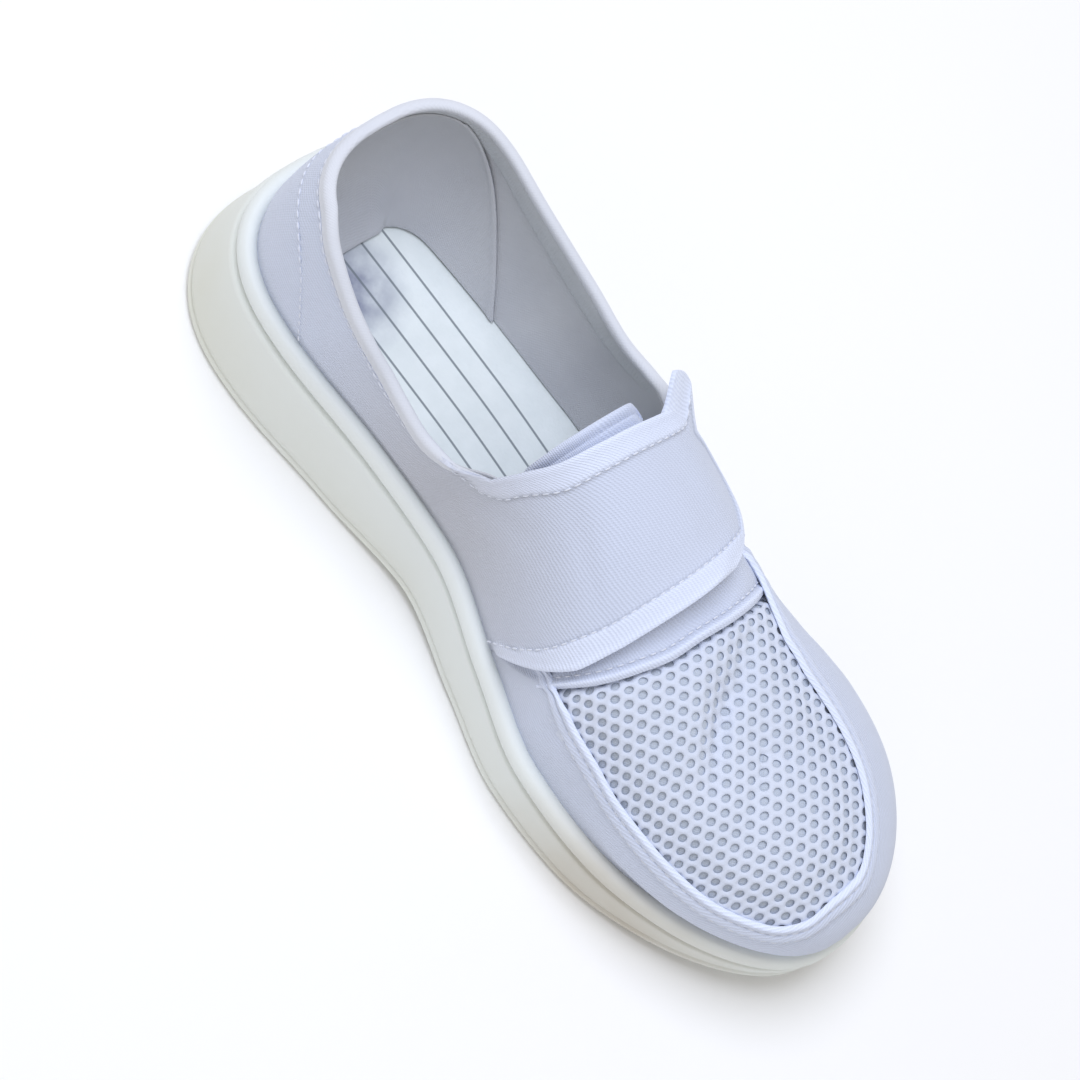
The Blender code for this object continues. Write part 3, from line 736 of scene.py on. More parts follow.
def conductive_cover():
    """Needled insole cloth with four woven conductive lines, and a painted bluish shadow inside the heel."""
    colours = bpy.context.scene.shoe_sole
    finish, tree, shader = new_finish("conductive_insole_cloth", 0.92, 0.15)
    if tree is None:
        return finish
    place = add(tree, "ShaderNodeTexCoord", out="Object")
    split = add(tree, "ShaderNodeSeparateXYZ", {0: place}, out=None)
    spacing = colours.line_spacing
    # The lines lean by 0.0775 to the outer side on the way to the toe.
    lean = add(tree, "ShaderNodeMath", {0: split["Y"], 1: 0.0775, 2: split["X"]}, operation="MULTIPLY_ADD")
    count = add(tree, "ShaderNodeMath", {0: lean, 1: -CENTRE_X * MM - 0.0059}, operation="ADD")
    count = add(tree, "ShaderNodeMath", {0: count, 1: spacing}, operation="DIVIDE")
    part = add(tree, "ShaderNodeMath", {0: count}, operation="FRACT")
    away = add(tree, "ShaderNodeMath", {0: part, 1: 0.5}, operation="SUBTRACT")
    away = add(tree, "ShaderNodeMath", {0: away}, operation="ABSOLUTE")
    line = add(tree, "ShaderNodeMapRange", {0: away, 1: 0.060, 2: 0.030, 3: 0.0, 4: 0.85})
    outer = add(tree, "ShaderNodeMath", {0: count}, operation="ABSOLUTE")
    kept = add(tree, "ShaderNodeMath", {0: outer, 1: 1.95}, operation="LESS_THAN")
    line = add(tree, "ShaderNodeMath", {0: line, 1: kept}, operation="MULTIPLY")
    fuzz = add(tree, "ShaderNodeTexNoise", {"Vector": place, "Scale": 900.0, "Detail": 2.0})
    wear_and_shadow_patches = add(tree, "ShaderNodeTexNoise", {"Vector": place, "Scale": 160.0, "Detail": 4.0})
    cover = add(tree, "ShaderNodeMix", {0: wear_and_shadow_patches, 6: opaque(colours.insole_colour), 7: opaque("#DDE5E6")},
                data_type="RGBA", out=2)
    # Painted bluish shadow where the counter's inner wall meets the insole at the heel's inner side.
    spot = (-0.0155, 0.087, 0.030)
    far = add(tree, "ShaderNodeVectorMath", {0: place, 1: spot}, out="Value", operation="DISTANCE")
    heel_shadow = add(tree, "ShaderNodeMapRange", {0: far, 1: 0.020, 2: 0.003, 3: 0.0, 4: 1.5})
    heel_shadow = add(tree, "ShaderNodeMath", {0: heel_shadow, 1: wear_and_shadow_patches}, operation="MULTIPLY", use_clamp=True)
    shadowed_cover = add(tree, "ShaderNodeMix", {0: heel_shadow, 6: cover, 7: opaque(colours.heel_shadow_colour)},
                 data_type="RGBA", out=2)
    inked = {0: line, 6: shadowed_cover, 7: opaque(colours.line_colour)}
    lined = add(tree, "ShaderNodeMix", inked, out=2, data_type="RGBA")
    bump = add(tree, "ShaderNodeBump", {"Height": fuzz, "Strength": 0.3, "Distance": 0.2 * MM})
    tree.links.new(lined, shader.inputs["Base Color"])
    tree.links.new(bump, shader.inputs["Normal"])
    return finish


def new_tree(name, sockets):
    """An empty tree of geometry nodes with its named inputs, its entry and its end."""
    tree = bpy.data.node_groups.new(name, "GeometryNodeTree")
    tree.interface.new_socket("Geometry", in_out="OUTPUT", socket_type="NodeSocketGeometry")
    for label, kind in sockets:
        tree.interface.new_socket(label, in_out="INPUT", socket_type=kind)
    return tree, tree.nodes.new("NodeGroupInput").outputs, tree.nodes.new("NodeGroupOutput").inputs[0]


def run_tree(piece, tree, values):
    """Puts a tree of geometry nodes on a piece and sets its inputs."""
    maker = piece.modifiers.new(tree.name, "NODES")
    maker.node_group = tree
    for item in tree.interface.items_tree:
        if item.in_out == "INPUT" and item.name in values:
            maker[item.identifier] = values[item.name]


def stitch_tree():
    """Stitches along paths: each a slim drop of thread, laid along the path."""
    tree = bpy.data.node_groups.get("stitch_row")
    if tree:
        return tree
    tree, entry, end = new_tree("stitch_row", (
        ("Path", "NodeSocketGeometry"), ("Pitch", "NodeSocketFloat"), ("Long", "NodeSocketFloat"),
        ("Thick", "NodeSocketFloat"), ("Thread", "NodeSocketMaterial")))
    path = add(tree, "GeometryNodeMeshToCurve", {0: entry["Path"]})
    spaced = add(tree, "GeometryNodeResampleCurve", {"Curve": path, "Length": entry["Pitch"]}, mode="LENGTH")
    drop = add(tree, "GeometryNodeMeshUVSphere", {"Segments": 6, "Rings": 5, "Radius": 0.5})
    run = add(tree, "GeometryNodeInputTangent")
    way = add(tree, "FunctionNodeAlignRotationToVector", {"Vector": run}, axis="X")
    size = add(tree, "ShaderNodeCombineXYZ", {0: entry["Long"], 1: entry["Thick"], 2: entry["Thick"]})
    laid = add(tree, "GeometryNodeInstanceOnPoints",
               {"Points": spaced, "Instance": drop, "Rotation": way, "Scale": size})
    whole = add(tree, "GeometryNodeRealizeInstances", {0: laid})
    sewn = add(tree, "GeometryNodeSetMaterial", {"Geometry": whole, "Material": entry["Thread"]})
    tree.links.new(sewn, end)
    return tree


def sew(name, rows):
    """Sews a row of stitches along each path of points."""
    sizes = bpy.context.scene.shoe_cloth
    starts = np.cumsum([0] + [len(row) for row in rows])
    edges = [(int(a) + i, int(a) + i + 1) for a, row in zip(starts, rows) for i in range(len(row) - 1)]
    mesh = bpy.data.meshes.new(name)
    mesh.from_pydata(np.concatenate(rows).tolist(), edges, [])
    piece = link(name, mesh)
    thread = spun_thread()
    run_tree(piece, stitch_tree(), {"Pitch": sizes.stitch_pitch, "Long": sizes.stitch_length,
                                    "Thick": sizes.thread_width, "Thread": thread})
    return settle(piece, thread)


def knit_tree():
    """A knitted panel: a cell per hole in staggered rows on the flat panel, carried onto its shaped form."""
    tree, entry, end = new_tree("knitted_panel", (
        ("Panel", "NodeSocketGeometry"), ("Cell", "NodeSocketObject"), ("Pitch", "NodeSocketFloat"),
        ("Row", "NodeSocketFloat"), ("Columns", "NodeSocketInt"), ("Rows", "NodeSocketInt"),
        ("Middle", "NodeSocketVector"), ("Yarn", "NodeSocketMaterial")))
    spans = []
    for count, step in (("Columns", "Pitch"), ("Rows", "Row")):
        gaps = add(tree, "ShaderNodeMath", {0: entry[count], 1: 1.0}, operation="SUBTRACT")
        spans.append(add(tree, "ShaderNodeMath", {0: gaps, 1: entry[step]}, operation="MULTIPLY"))
    lattice = add(tree, "GeometryNodeMeshGrid", {
        "Size X": spans[0], "Size Y": spans[1], "Vertices X": entry["Columns"], "Vertices Y": entry["Rows"]})
    spot = add(tree, "ShaderNodeSeparateXYZ", {0: add(tree, "GeometryNodeInputPosition")}, out=None)
    half = add(tree, "ShaderNodeMath", {0: spans[1], 1: 0.5, 2: spot["Y"]}, operation="MULTIPLY_ADD")
    row = add(tree, "ShaderNodeMath", {0: half, 1: entry["Row"]}, operation="DIVIDE")
    row = add(tree, "ShaderNodeMath", {0: row}, operation="ROUND")
    odd = add(tree, "ShaderNodeMath", {0: row, 1: 2.0}, operation="FLOORED_MODULO")
    shift = add(tree, "ShaderNodeMath", {0: odd, 1: entry["Pitch"]}, operation="MULTIPLY")
    shift = add(tree, "ShaderNodeMath", {0: shift, 1: 0.5}, operation="MULTIPLY")
    aside = add(tree, "ShaderNodeCombineXYZ", {0: shift})
    aside = add(tree, "ShaderNodeVectorMath", {0: aside, 1: entry["Middle"]}, operation="ADD")
    staggered = add(tree, "GeometryNodeSetPosition", {"Geometry": lattice, "Offset": aside})
    cell = add(tree, "GeometryNodeObjectInfo", {"Object": entry["Cell"]}, out="Geometry")
    cells = add(tree, "GeometryNodeInstanceOnPoints", {"Points": staggered, "Instance": cell})
    whole = add(tree, "GeometryNodeRealizeInstances", {0: cells})
    whole = add(tree, "GeometryNodeMergeByDistance", {"Geometry": whole, "Distance": 0.02 * MM})
    at = add(tree, "GeometryNodeInputPosition")
    relief = add(tree, "ShaderNodeSeparateXYZ", {0: at}, out="Z")
    above = add(tree, "ShaderNodeVectorMath", {0: at, 1: (0.0, 0.0, 1.0)}, operation="ADD")
    carried = {}
    for name in ("shaped", "facing"):
        named = add(tree, "GeometryNodeInputNamedAttribute", {"Name": name}, data_type="FLOAT_VECTOR")
        carried[name] = add(tree, "GeometryNodeRaycast", {
            "Target Geometry": entry["Panel"], "Attribute": named, "Source Position": above,
            "Ray Direction": (0.0, 0.0, -1.0), "Ray Length": 2.0}, out=None, data_type="FLOAT_VECTOR")
    missed = add(tree, "FunctionNodeBooleanMath", {0: carried["shaped"]["Is Hit"]}, operation="NOT")
    facing, shaped = carried["facing"]["Attribute"], carried["shaped"]["Attribute"]
    raised = add(tree, "ShaderNodeVectorMath", {0: facing, "Scale": relief}, operation="SCALE")
    target = add(tree, "ShaderNodeVectorMath", {0: raised, 1: shaped}, operation="ADD")
    stored = add(tree, "GeometryNodeStoreNamedAttribute", {"Geometry": whole, "Name": "off", "Value": missed},
                 data_type="BOOLEAN", domain="POINT")
    moved = add(tree, "GeometryNodeSetPosition", {"Geometry": stored, "Position": target})
    off = add(tree, "GeometryNodeInputNamedAttribute", {"Name": "off"}, data_type="BOOLEAN")
    kept = add(tree, "GeometryNodeDeleteGeometry", {"Geometry": moved, "Selection": off}, domain="POINT")
    whole = add(tree, "GeometryNodeRealizeInstances", {0: kept})
    dyed = add(tree, "GeometryNodeSetMaterial", {"Geometry": whole, "Material": entry["Yarn"]})
    tree.links.new(dyed, end)
    return tree


class ShoeCloth(bpy.types.PropertyGroup):
    """Cloth and thread of the upper."""

    canvas_colour: FloatVectorProperty(name="Canvas", description="Bleached canvas where it is cleanest",
                                       subtype="COLOR", min=0, max=1, default=linear("#D6DEF2"))
    canvas_shade: FloatVectorProperty(name="Canvas, washed", description="Canvas where washing has greyed it",
                                      subtype="COLOR", min=0, max=1, default=linear("#CCD4E8"))
    # Painted shade for the inner side, from the collar to the strap.
    canvas_painted_shade: FloatVectorProperty(name="Canvas, painted shade", description="Canvas darkened by painted shade",
                                     subtype="COLOR", min=0, max=1, default=linear("#BBBDC6"))
    mesh_colour: FloatVectorProperty(name="Mesh", description="Strands of the knitted vamp",
                                     subtype="COLOR", min=0, max=1, default=linear("#DAE1F2"))
    twill_pitch: FloatProperty(name="Twill pitch", description="From one rib of the canvas to the next",
                               unit="LENGTH", default=1.0 * MM, min=0.3 * MM)
    canvas_thick: FloatProperty(name="Canvas thickness", description="One layer of canvas with its facing",
                                unit="LENGTH", default=1.2 * MM, min=0.5 * MM)
    stitch_pitch: FloatProperty(name="Stitch pitch", description="From one stitch to the next",
                                unit="LENGTH", default=2.9 * MM, min=1.0 * MM)
    stitch_length: FloatProperty(name="Stitch length", description="The part of a stitch that shows",
                                 unit="LENGTH", default=2.3 * MM, min=0.5 * MM)
    thread_width: FloatProperty(name="Thread width", description="Width of the sewing thread",
                                unit="LENGTH", default=0.6 * MM, min=0.2 * MM)
    hole_pitch: FloatProperty(name="Hole pitch", description="Between the mesh's holes, across the foot",
                              unit="LENGTH", default=4.3 * MM, min=2.0 * MM)
    hole_row: FloatProperty(name="Hole rows", description="From one row of holes to the next",
                            unit="LENGTH", default=3.05 * MM, min=1.5 * MM)
    hole_size: FloatProperty(name="Hole size", description="Across one hole of the mesh",
                             unit="LENGTH", default=2.3 * MM, min=0.5 * MM)


class ShoeSole(bpy.types.PropertyGroup):
    """Sole and insole."""

    sole_colour: FloatVectorProperty(name="Sole", description="Moulded sole where it is cleanest",
                                     subtype="COLOR", min=0, max=1, default=linear("#E7ECEB"))
    aged_colour: FloatVectorProperty(name="Sole, aged", description="Moulded sole where it has yellowed",
                                     subtype="COLOR", min=0, max=1, default=linear("#DEDECF"))
    dust_colour: FloatVectorProperty(name="Dust", description="Street dust on the toe's low inner side",
                                     subtype="COLOR", min=0, max=1, default=linear("#BFB4A2"))
    insole_colour: FloatVectorProperty(name="Insole", description="Cover of the insole",
                                       subtype="COLOR", min=0, max=1, default=linear("#EEF4F5"))
    line_colour: FloatVectorProperty(name="Lines", description="Conductive lines in the insole's cover",
                                     subtype="COLOR", min=0, max=1, default=linear("#6F7880"))
    # Painted shadow at the heel's inner side.
    heel_shadow_colour: FloatVectorProperty(name="Heel shadow, painted", description="Painted bluish shadow at the heel",
                                       subtype="COLOR", min=0, max=1, default=linear("#5F6388"))
    line_spacing: FloatProperty(name="Line spacing", description="Between two conductive lines",
                                unit="LENGTH", default=7.2 * MM, min=2.0 * MM)


class ShoeStage(bpy.types.PropertyGroup):
    """Floor, lights and camera."""

    floor_colour: FloatVectorProperty(name="Floor", description="The pale floor",
                                      subtype="COLOR", min=0, max=1, default=linear("#FBFBFB"))
    azimuth: FloatProperty(name="Azimuth", description="The camera's way round the shoe; 0 looks along +Y",
                           subtype="ANGLE", default=math.radians(-84.94))
    elevation: FloatProperty(name="Elevation", description="The camera's angle above the floor",
                             subtype="ANGLE", default=math.radians(61.84))
    roll: FloatProperty(name="Roll", description="The camera's turn about its own view",
                        subtype="ANGLE", default=math.radians(51.2))
    distance: FloatProperty(name="Distance", description="From the camera to the middle of the shoe",
                            unit="LENGTH", default=1.0404)
    lens: FloatProperty(name="Lens", description="Focal length on a sensor 36 mm wide",
                        unit="CAMERA", default=134.1)
    key_power: FloatProperty(name="Overhead light", description="Power of the large light overhead",
                             unit="POWER", default=11.2)
    sky: FloatProperty(name="Room light", description="Strength of the even light all round",
                       subtype="FACTOR", default=0.52, min=0, soft_max=1)


class SHOE_OT_sole(bpy.types.Operator):
    """Mould the sole: lip, side, groove, bead, cup and tread"""

    bl_idname = "shoe.sole"
    bl_label = "Mould the sole"

    def execute(self, context):
        steps = 240
        angle = 2 * math.pi * np.arange(steps) / steps
        station = (1 - np.cos(angle)) / 2
        tread, rim = through(LEVELS, "tread", station), through(LEVELS, "rim", station)
        body = bmesh.new()
        rows = []
        for step in SOLE_SIDE:
            plan = edge(angle, step.outset + step.flares * through(LEVELS, "flare", station))
            height = tread + (rim - tread) * step.share + step.rise
            ring = np.concatenate((plan, height[:, None]), -1) * MM
            rows.append([body.verts.new(point) for point in ring.tolist()])
        for low, high in zip(rows, rows[1:]):
            for i in range(steps):
                j = (i + 1) % steps
                body.faces.new((low[i], low[j], high[j], high[i]))
        for ring in (rows[0], rows[-1]):
            for i in range(steps // 2):
                corners = [ring[i], ring[i + 1], ring[(steps - i - 1) % steps], ring[(steps - i) % steps]]
                body.faces.new(list(dict.fromkeys(corners)))
        bmesh.ops.recalc_face_normals(body, faces=body.faces)
        mesh = bpy.data.meshes.new("sole")
        body.to_mesh(mesh)
        body.free()
        sole = link("sole", mesh)
        bars = self.tread_bars()
        cut = sole.modifiers.new("tread", "BOOLEAN")
        cut.object = bars
        cut.operation = "DIFFERENCE"
        cut.solver = "EXACT"
        settle(sole, moulded_foam(), ("outsole",))
        bpy.data.objects.remove(bars)
        return {"FINISHED"}

    def tread_bars(self):
        """Bars that cut the tread's grooves and stop short of the sole's border."""
        bars = bmesh.new()
        for station in GROOVE_STATIONS:
            left = edge(ring_angle(station, False), 0.0)[0] + GROOVE_BORDER
            right = edge(ring_angle(station, True), 0.0)[0] - GROOVE_BORDER
            top = float(through(LEVELS, "tread", station)) + GROOVE_DEEP
            size = (right - left, GROOVE_WIDTH, top + GROOVE_DEEP)
            centre = Vector(((left + right) / 2, axis(station)[1], (top - GROOVE_DEEP) / 2))
            placed = Matrix.Translation(centre * MM) @ Matrix.Diagonal((*size, 1))
            bmesh.ops.create_cube(bars, size=MM, matrix=placed)
        mesh = bpy.data.meshes.new("tread_bars")
        bars.to_mesh(mesh)
        bars.free()
        return link("tread_bars", mesh)


class SHOE_OT_insole(bpy.types.Operator):
    """Lay the insole with its conductive lines into the sole's cup"""

    bl_idname = "shoe.insole"
    bl_label = "Lay the insole"

    def execute(self, context):
        angle = math.pi * np.linspace(0.0, 1.0, 121)[:, None]
        across = np.linspace(0.0, 1.0, 31)
        inset = -(FEATHER + 1.2)
        inner, outer = edge(angle, inset), edge(2 * math.pi - angle, inset)
        plan = inner + (outer - inner) * across[:, None]
        station = (1 - np.cos(angle)) / 2
        dished = 0.8 * np.abs(2 * across - 1) ** 6
        height = through(LEVELS, "rim", station) - CUP_DEPTH + INSOLE_TOP + dished * np.ones_like(station)
        points = np.concatenate((plan, height[..., None]), -1) * MM
        insole = cloth("insole_board", (points, plan))
        thicken(insole, 3.5, 0.9)
        settle(insole, conductive_cover(), ("insole",))
        return {"FINISHED"}


class SHOE_OT_mudguard(bpy.types.Operator):
    """Sew the mudguard round the toe, up to the apron's edge"""

    bl_idname = "shoe.mudguard"
    bl_label = "Sew the mudguard"

    def execute(self, context):
        run = np.linspace(0.0, 1.0, 151) ** 1.15
        foot = np.concatenate((1 - (1 - GUARD_INNER_END) * run[::-1], 1 - (1 - GUARD_OUTER_END) * run[1:]))
        lateral = np.arange(301) > 150
        near = np.array((0.0, 0.25, 0.6, 1.0, 1.5, 2.0, 2.4, 2.7, 3.0,
                         3.4, 4.0, 4.6, 5.1, 5.4, 5.7, 6.2, 7.2))
        # At the throat the inner quarter stands higher than the apron's edge.
        drop = np.where(lateral, 0.0, np.maximum(free_height(leaned(foot, 1.0), False) - THROAT_HEIGHT, 0.0))
        share, down = rows_below(foot, lateral, near, 15, drop)
        along = paced(upright(foot, lateral, 1.0, 0.0, drop))
        band = 0.95 * (1 - ease((down - 5.3) / 0.9))
        band = band + 0.35 * hump((down - 1.2) / 0.9) - 0.75 * hump(down / 0.6)
        rows = hump((down - 2.7) / 0.5) + hump((down - 5.6) / 0.6)
        beside = hump((down - 6.2) / 2.4) + 0.4 * hump((down - 2.7) / 1.2)
        pucker = np.sin(2 * math.pi * along / 5.2) * beside
        under = -1.5 * ease((SEAM_STATION + 0.004 - foot) / 0.016)
        points = upright(foot, lateral, share, band - 0.4 * rows + 0.14 * pucker + under, drop)
        # Painted light: shade along the two rows of stitches, a painted highlight on the rolled edge and a
        # fainter one over the raised band.
        seam = 0.75 * rows - 1.1 * hump((down - 0.6) / 1.0) - 0.25 * (1 - ease((down - 5.0) / 0.6))
        flat = flat_places(points, paced(upright(foot, lateral, 0.5, 0.0)))
        guard = cloth("mudguard", (points, flat, seam))
        thicken(guard, 1.0, 0.35)
        settle(guard, twill_canvas(), ("upper",))
        sewn = [upright(foot, lateral, share[row], 0.5, drop)[30:-45] for row in (7, 13)]
        sew("apron_stitches", sewn)
        return {"FINISHED"}


class SHOE_OT_quarters(bpy.types.Operator):
    """Sew the quarters round the heel, with the strap running on from the inner one"""

    bl_idname = "shoe.quarters"
    bl_label = "Sew the quarters and strap"

    def execute(self, context):
        hem = np.array((0.0, 0.3, 0.7, 1.2, 2.2, 3.4, 4.6, 5.6, 6.2, 6.6, 7.0, 7.4, 7.8, 8.4, 9.4))
        width = (STRAP_ROOT_FRONT - STRAP_ROOT_REAR) * LENGTH
        across = np.concatenate((hem, np.linspace(9.4, width - 9.4, 23)[1:-1], width - hem[::-1])) / width
        root = STRAP_ROOT_REAR + (STRAP_ROOT_FRONT - STRAP_ROOT_REAR) * across
        end = 0.82 + 0.18 * np.linspace(0.0, 1.0, 30)[1:] ** 0.8
        along = np.concatenate((np.linspace(0.0, 0.82, 60), end))
        strap = self.strap(across[::-1][None, :], along[:, None], width)
        edges = np.minimum(np.minimum(across, 1 - across) * width, (1 - along[:, None]) * STRAP_LONG + 3.0)
        points, flat, seam, rows = self.walls(root)
        strap[0] = points[0, :len(root)]
        strap_flat = flat_places(strap, flat[0, :len(root), 0])
        strap_flat[..., 1] *= -1
        # The strap brings painted shade along its hems' stitches and a painted highlight on their folds.
        quarters = cloth("quarters_with_strap", (points, flat, seam), (strap, strap_flat, self.seam_shade_and_highlight(edges)))
        thicken(quarters, context.scene.shoe_cloth.canvas_thick / MM, 0.4)
        settle(quarters, twill_canvas(), ("upper", "instep_strap"))
        run = np.linspace(0.0, 0.95, 90)
        rear = self.strap(np.full(90, HEM_WIDTH / width), run, width)
        front = self.strap(np.full(90, 1 - HEM_WIDTH / width), run, width)
        hems = [np.concatenate((rows[0], rear)), np.concatenate((rows[1], front))]
        sew("quarter_stitches", hems + rows[2:])
        return {"FINISHED"}

    def hem(self, away, along=0.0):
        """A folded hem stands a little proud up to its row of stitches, which pulls and puckers the cloth."""
        fold = 0.7 * (1 - ease((away - HEM_WIDTH + 0.2) / 1.1)) + 0.25 * hump((away - 0.9) / 1.0)
        pucker = 0.15 * np.sin(2 * math.pi * along / 5.0) * hump((away - HEM_WIDTH) / 2.0)
        return fold - 0.45 * hump((away - HEM_WIDTH) / 0.65) + pucker

    def seam_shade_and_highlight(self, away):
        """Painted shade along a hem's row of stitches, and its paler fold: partly the whiter double layer,
        partly a painted highlight.
        """
        row = 0.8 * hump((away - HEM_WIDTH - 0.3) / 0.8)
        return row - 0.75 * (1 - ease((away - HEM_WIDTH + 0.6) / 0.6)) - 0.25 * hump((away - 0.9) / 1.0)

    def strap(self, share, part, width):
        """The strap's points at a share across from its rear edge and a part of the way to its free end."""
        roots = np.linspace(STRAP_ROOT_REAR, STRAP_ROOT_FRONT, 60)
        begin = lift_at(roots, through(FREE_EDGE, "medial", roots))
        start = np.interp(share, np.linspace(0.0, 1.0, 60), begin)
        turn = start + (through(STRAP_ENDS, "turn", share) - start) * part
        held = 1 - ease(part / 0.25)
        rear = through(STRAP_EDGES, "rear", turn)
        front = through(STRAP_EDGES, "front", turn)
        rear = rear + (STRAP_ROOT_REAR - through(STRAP_EDGES, "rear", start)) * held
        front = front + (STRAP_ROOT_FRONT - through(STRAP_EDGES, "front", start)) * held
        # The free end's rear corner has curled up into a round tab.
        curl = ease((part - TAB_FROM) / (1 - TAB_FROM)) * (1 - ease((share - 0.12) / 0.10))
        station = rear + (front - rear) * share - TAB_BACK * curl
        climb = ease((turn - STRAP_LIFT_FROM) / (STRAP_LIFT_TO - STRAP_LIFT_FROM))
        along = part * STRAP_LONG
        free = (1 - part) * STRAP_LONG
        away = np.minimum(np.minimum(share, 1 - share) * width, free + 3.0)
        folds = self.hem(away, along) * (1 - curl)
        worn = creased(station, turn) * ease(free / 15.0)
        gape = 1.3 * ease((share - 0.72) / 0.28) * climb * ease(free / 25.0)
        return form(station, turn, QUARTER_STEP + STRAP_LIFT * climb + gape + folds + worn + TAB_LIFT * curl)

    def walls(self, root):
        """Both quarters round the heel, from the inner front edge to the outer one, and their stitches."""
        collar = np.linspace(0.0, 1.0, 86)[1:-1]
        inner = np.concatenate((unleaned(root)[::-1], unleaned(STRAP_ROOT_REAR) * (1 - collar) ** 1.25))
        outer = SEAM_STATION * (1 - (1 - np.linspace(0.0, 1.0, 120)) ** 1.15) ** 1.2
        foot = np.concatenate((inner, outer))
        lateral = np.arange(len(foot)) >= len(inner)
        # The outer quarter's upper corner is cut round.
        corner = np.maximum(QUARTER_CORNER - (SEAM_STATION - foot) * LENGTH, 0.0)
        cut = QUARTER_CORNER - np.sqrt(QUARTER_CORNER ** 2 - corner ** 2)
        tall = free_height(leaned(foot, 1.0), True) - through(LEVELS, "rim", foot)
        cap = np.where(lateral, 1 - cut / tall, 1.0)
        near = np.array((0.0, 0.4, 1.0, 2.0, 3.2, 4.4, 5.6, 6.3, 7.0, 7.7, 8.6))
        share, down = rows_below(foot, lateral, near, 22, cap=cap)
        top = leaned(foot, 1.0)
        grown = np.clip((top - 0.362) / 0.038, 0.001, 1.0)
        past = np.maximum(top - STRAP_ROOT_REAR, 0.0) * LENGTH
        rear = np.where(lateral, 99.0, np.hypot(past, down / grown))
        front = self.behind_front(foot, share)
        # The outer front edge is lasted flat under the strap, without a fold.
        flattened = np.where(lateral, 0.3, 1.0)
        folds = self.hem(front) * flattened + self.hem(rear)
        points = upright(foot, lateral, share, QUARTER_STEP * ease(share * 9.0) + folds * ease(share * 6.0))
        # Painted light along the hems: shade at their rows of stitches, highlight on their folds.
        seam = (self.seam_shade_and_highlight(front) * flattened + self.seam_shade_and_highlight(rear)) * ease(share * 6.0)
        rows = [np.array([self.hem_row(foot[i], share[:, i], down[:, i], grown[i], past[i])
                          for i in reversed(range(len(inner))) if top[i] > 0.366 and past[i] < HEM_WIDTH])]
        climb = np.linspace(0.05, 0.99, 45)
        feet = np.linspace(SEAM_STATION - 0.05, SEAM_STATION, 60)
        stitched = np.array([np.interp(-HEM_WIDTH, -self.behind_front(feet, c), feet) for c in climb])
        rows.append(upright(stitched, False, climb, QUARTER_STEP + 0.3))
        rows.append(upright(stitched[:33], True, climb[:33], QUARTER_STEP + 0.25))
        reach = np.linspace(0.0, COUNTER_REACH, 60)
        around = np.concatenate((np.linspace(COUNTER_REACH, 0.0, 60), reach[1:]))
        outside = np.arange(len(around)) >= 60
        lift = lift_at(around, through(COUNTER_ROW, "height", around), QUARTER_STEP)
        rows.append(form(around, side_turn(lift, outside), QUARTER_STEP + 0.1))
        return points, flat_places(points, -paced(upright(foot, lateral, 0.5, 0.0))), seam, rows

    def behind_front(self, foot, share):
        """How far a place lies behind the quarters' front edge, where the hem narrows towards the sole."""
        share = np.clip(share, 0.0, 1.0)
        low, high = SEAM_STATION - foot, STRAP_ROOT_FRONT - leaned(foot, 1.0)
        return (low + (high - low) * share) * LENGTH / (0.4 + 0.6 * share)

    def hem_row(self, foot, share, down, grown, past):
        """A point of the rear hem's stitches, which run from the collar round into the strap."""
        deep = grown * math.sqrt(HEM_WIDTH ** 2 - past ** 2)
        return upright(foot, False, np.interp(deep, down, share), QUARTER_STEP + 0.3)


class SHOE_OT_lining(bpy.types.Operator):
    """Line the quarters, with a round pocket over the heel counter"""

    bl_idname = "shoe.lining"
    bl_label = "Line the quarters"

    def execute(self, context):
        half = LINING_END * np.linspace(0.0, 1.0, 100) ** 1.25
        foot = np.concatenate((half[::-1], half[1:]))
        lateral = np.arange(len(foot)) >= 100
        rise = np.concatenate((np.linspace(1.0, 0.12, 28), (0.08, 0.05, 0.025, 0.0)))
        rise = rise[:, None] * np.ones(len(foot))
        points = self.hung(foot, lateral, rise, -0.35 - 1.2 * ease((foot - 0.36) / 0.08))
        lining = cloth("quarter_lining", (points, flat_places(points, foot * LENGTH)))
        thicken(lining, 0.6, 0.15)
        grey = woven_tape("grey_cotton_lining", "#D3D5D9", "#B8BBC4", 0.9)
        settle(lining, grey, ("upper",))
        across = np.linspace(-1.0, 1.0, 121)
        rise = np.linspace(0.93, 0.01, 40)[:, None]
        reach = through(POCKET, "reach", rise) * np.abs(across) ** 1.25
        lateral = np.broadcast_to(across > 0, reach.shape)
        away = (1 - np.abs(across)) * through(POCKET, "reach", rise) * LENGTH
        points = self.hung(reach, lateral, rise * np.ones(121), -1.5 - 0.3 * hump((away - 1.0) / 1.2))
        pocket = cloth("counter_pocket", (points, flat_places(points, across * 60)))
        thicken(pocket, 0.5, 0.2)
        settle(pocket, grey, ("upper",))
        return {"FINISHED"}

    def hung(self, foot, lateral, rise, layer):
        """Points of the loose lining: rise 1 at the collar, 0 where it meets the insole."""
        station = leaned(foot, rise)
        floor = through(LEVELS, "rim", station) - CUP_DEPTH + INSOLE_TOP + 0.3
        height = floor + (free_height(station, lateral) - floor) * rise
        points = form(station, side_turn(lift_at(station, height, layer), lateral), layer)
        slack = np.where(lateral, through(LINING_SLACK, "lateral", station),
                         through(LINING_SLACK, "medial", station))
        inwards = outward(ring_angle(station, lateral)) * (slack * (1 - rise) ** 2.2)[..., None]
        points[..., :2] -= inwards * MM
        return points


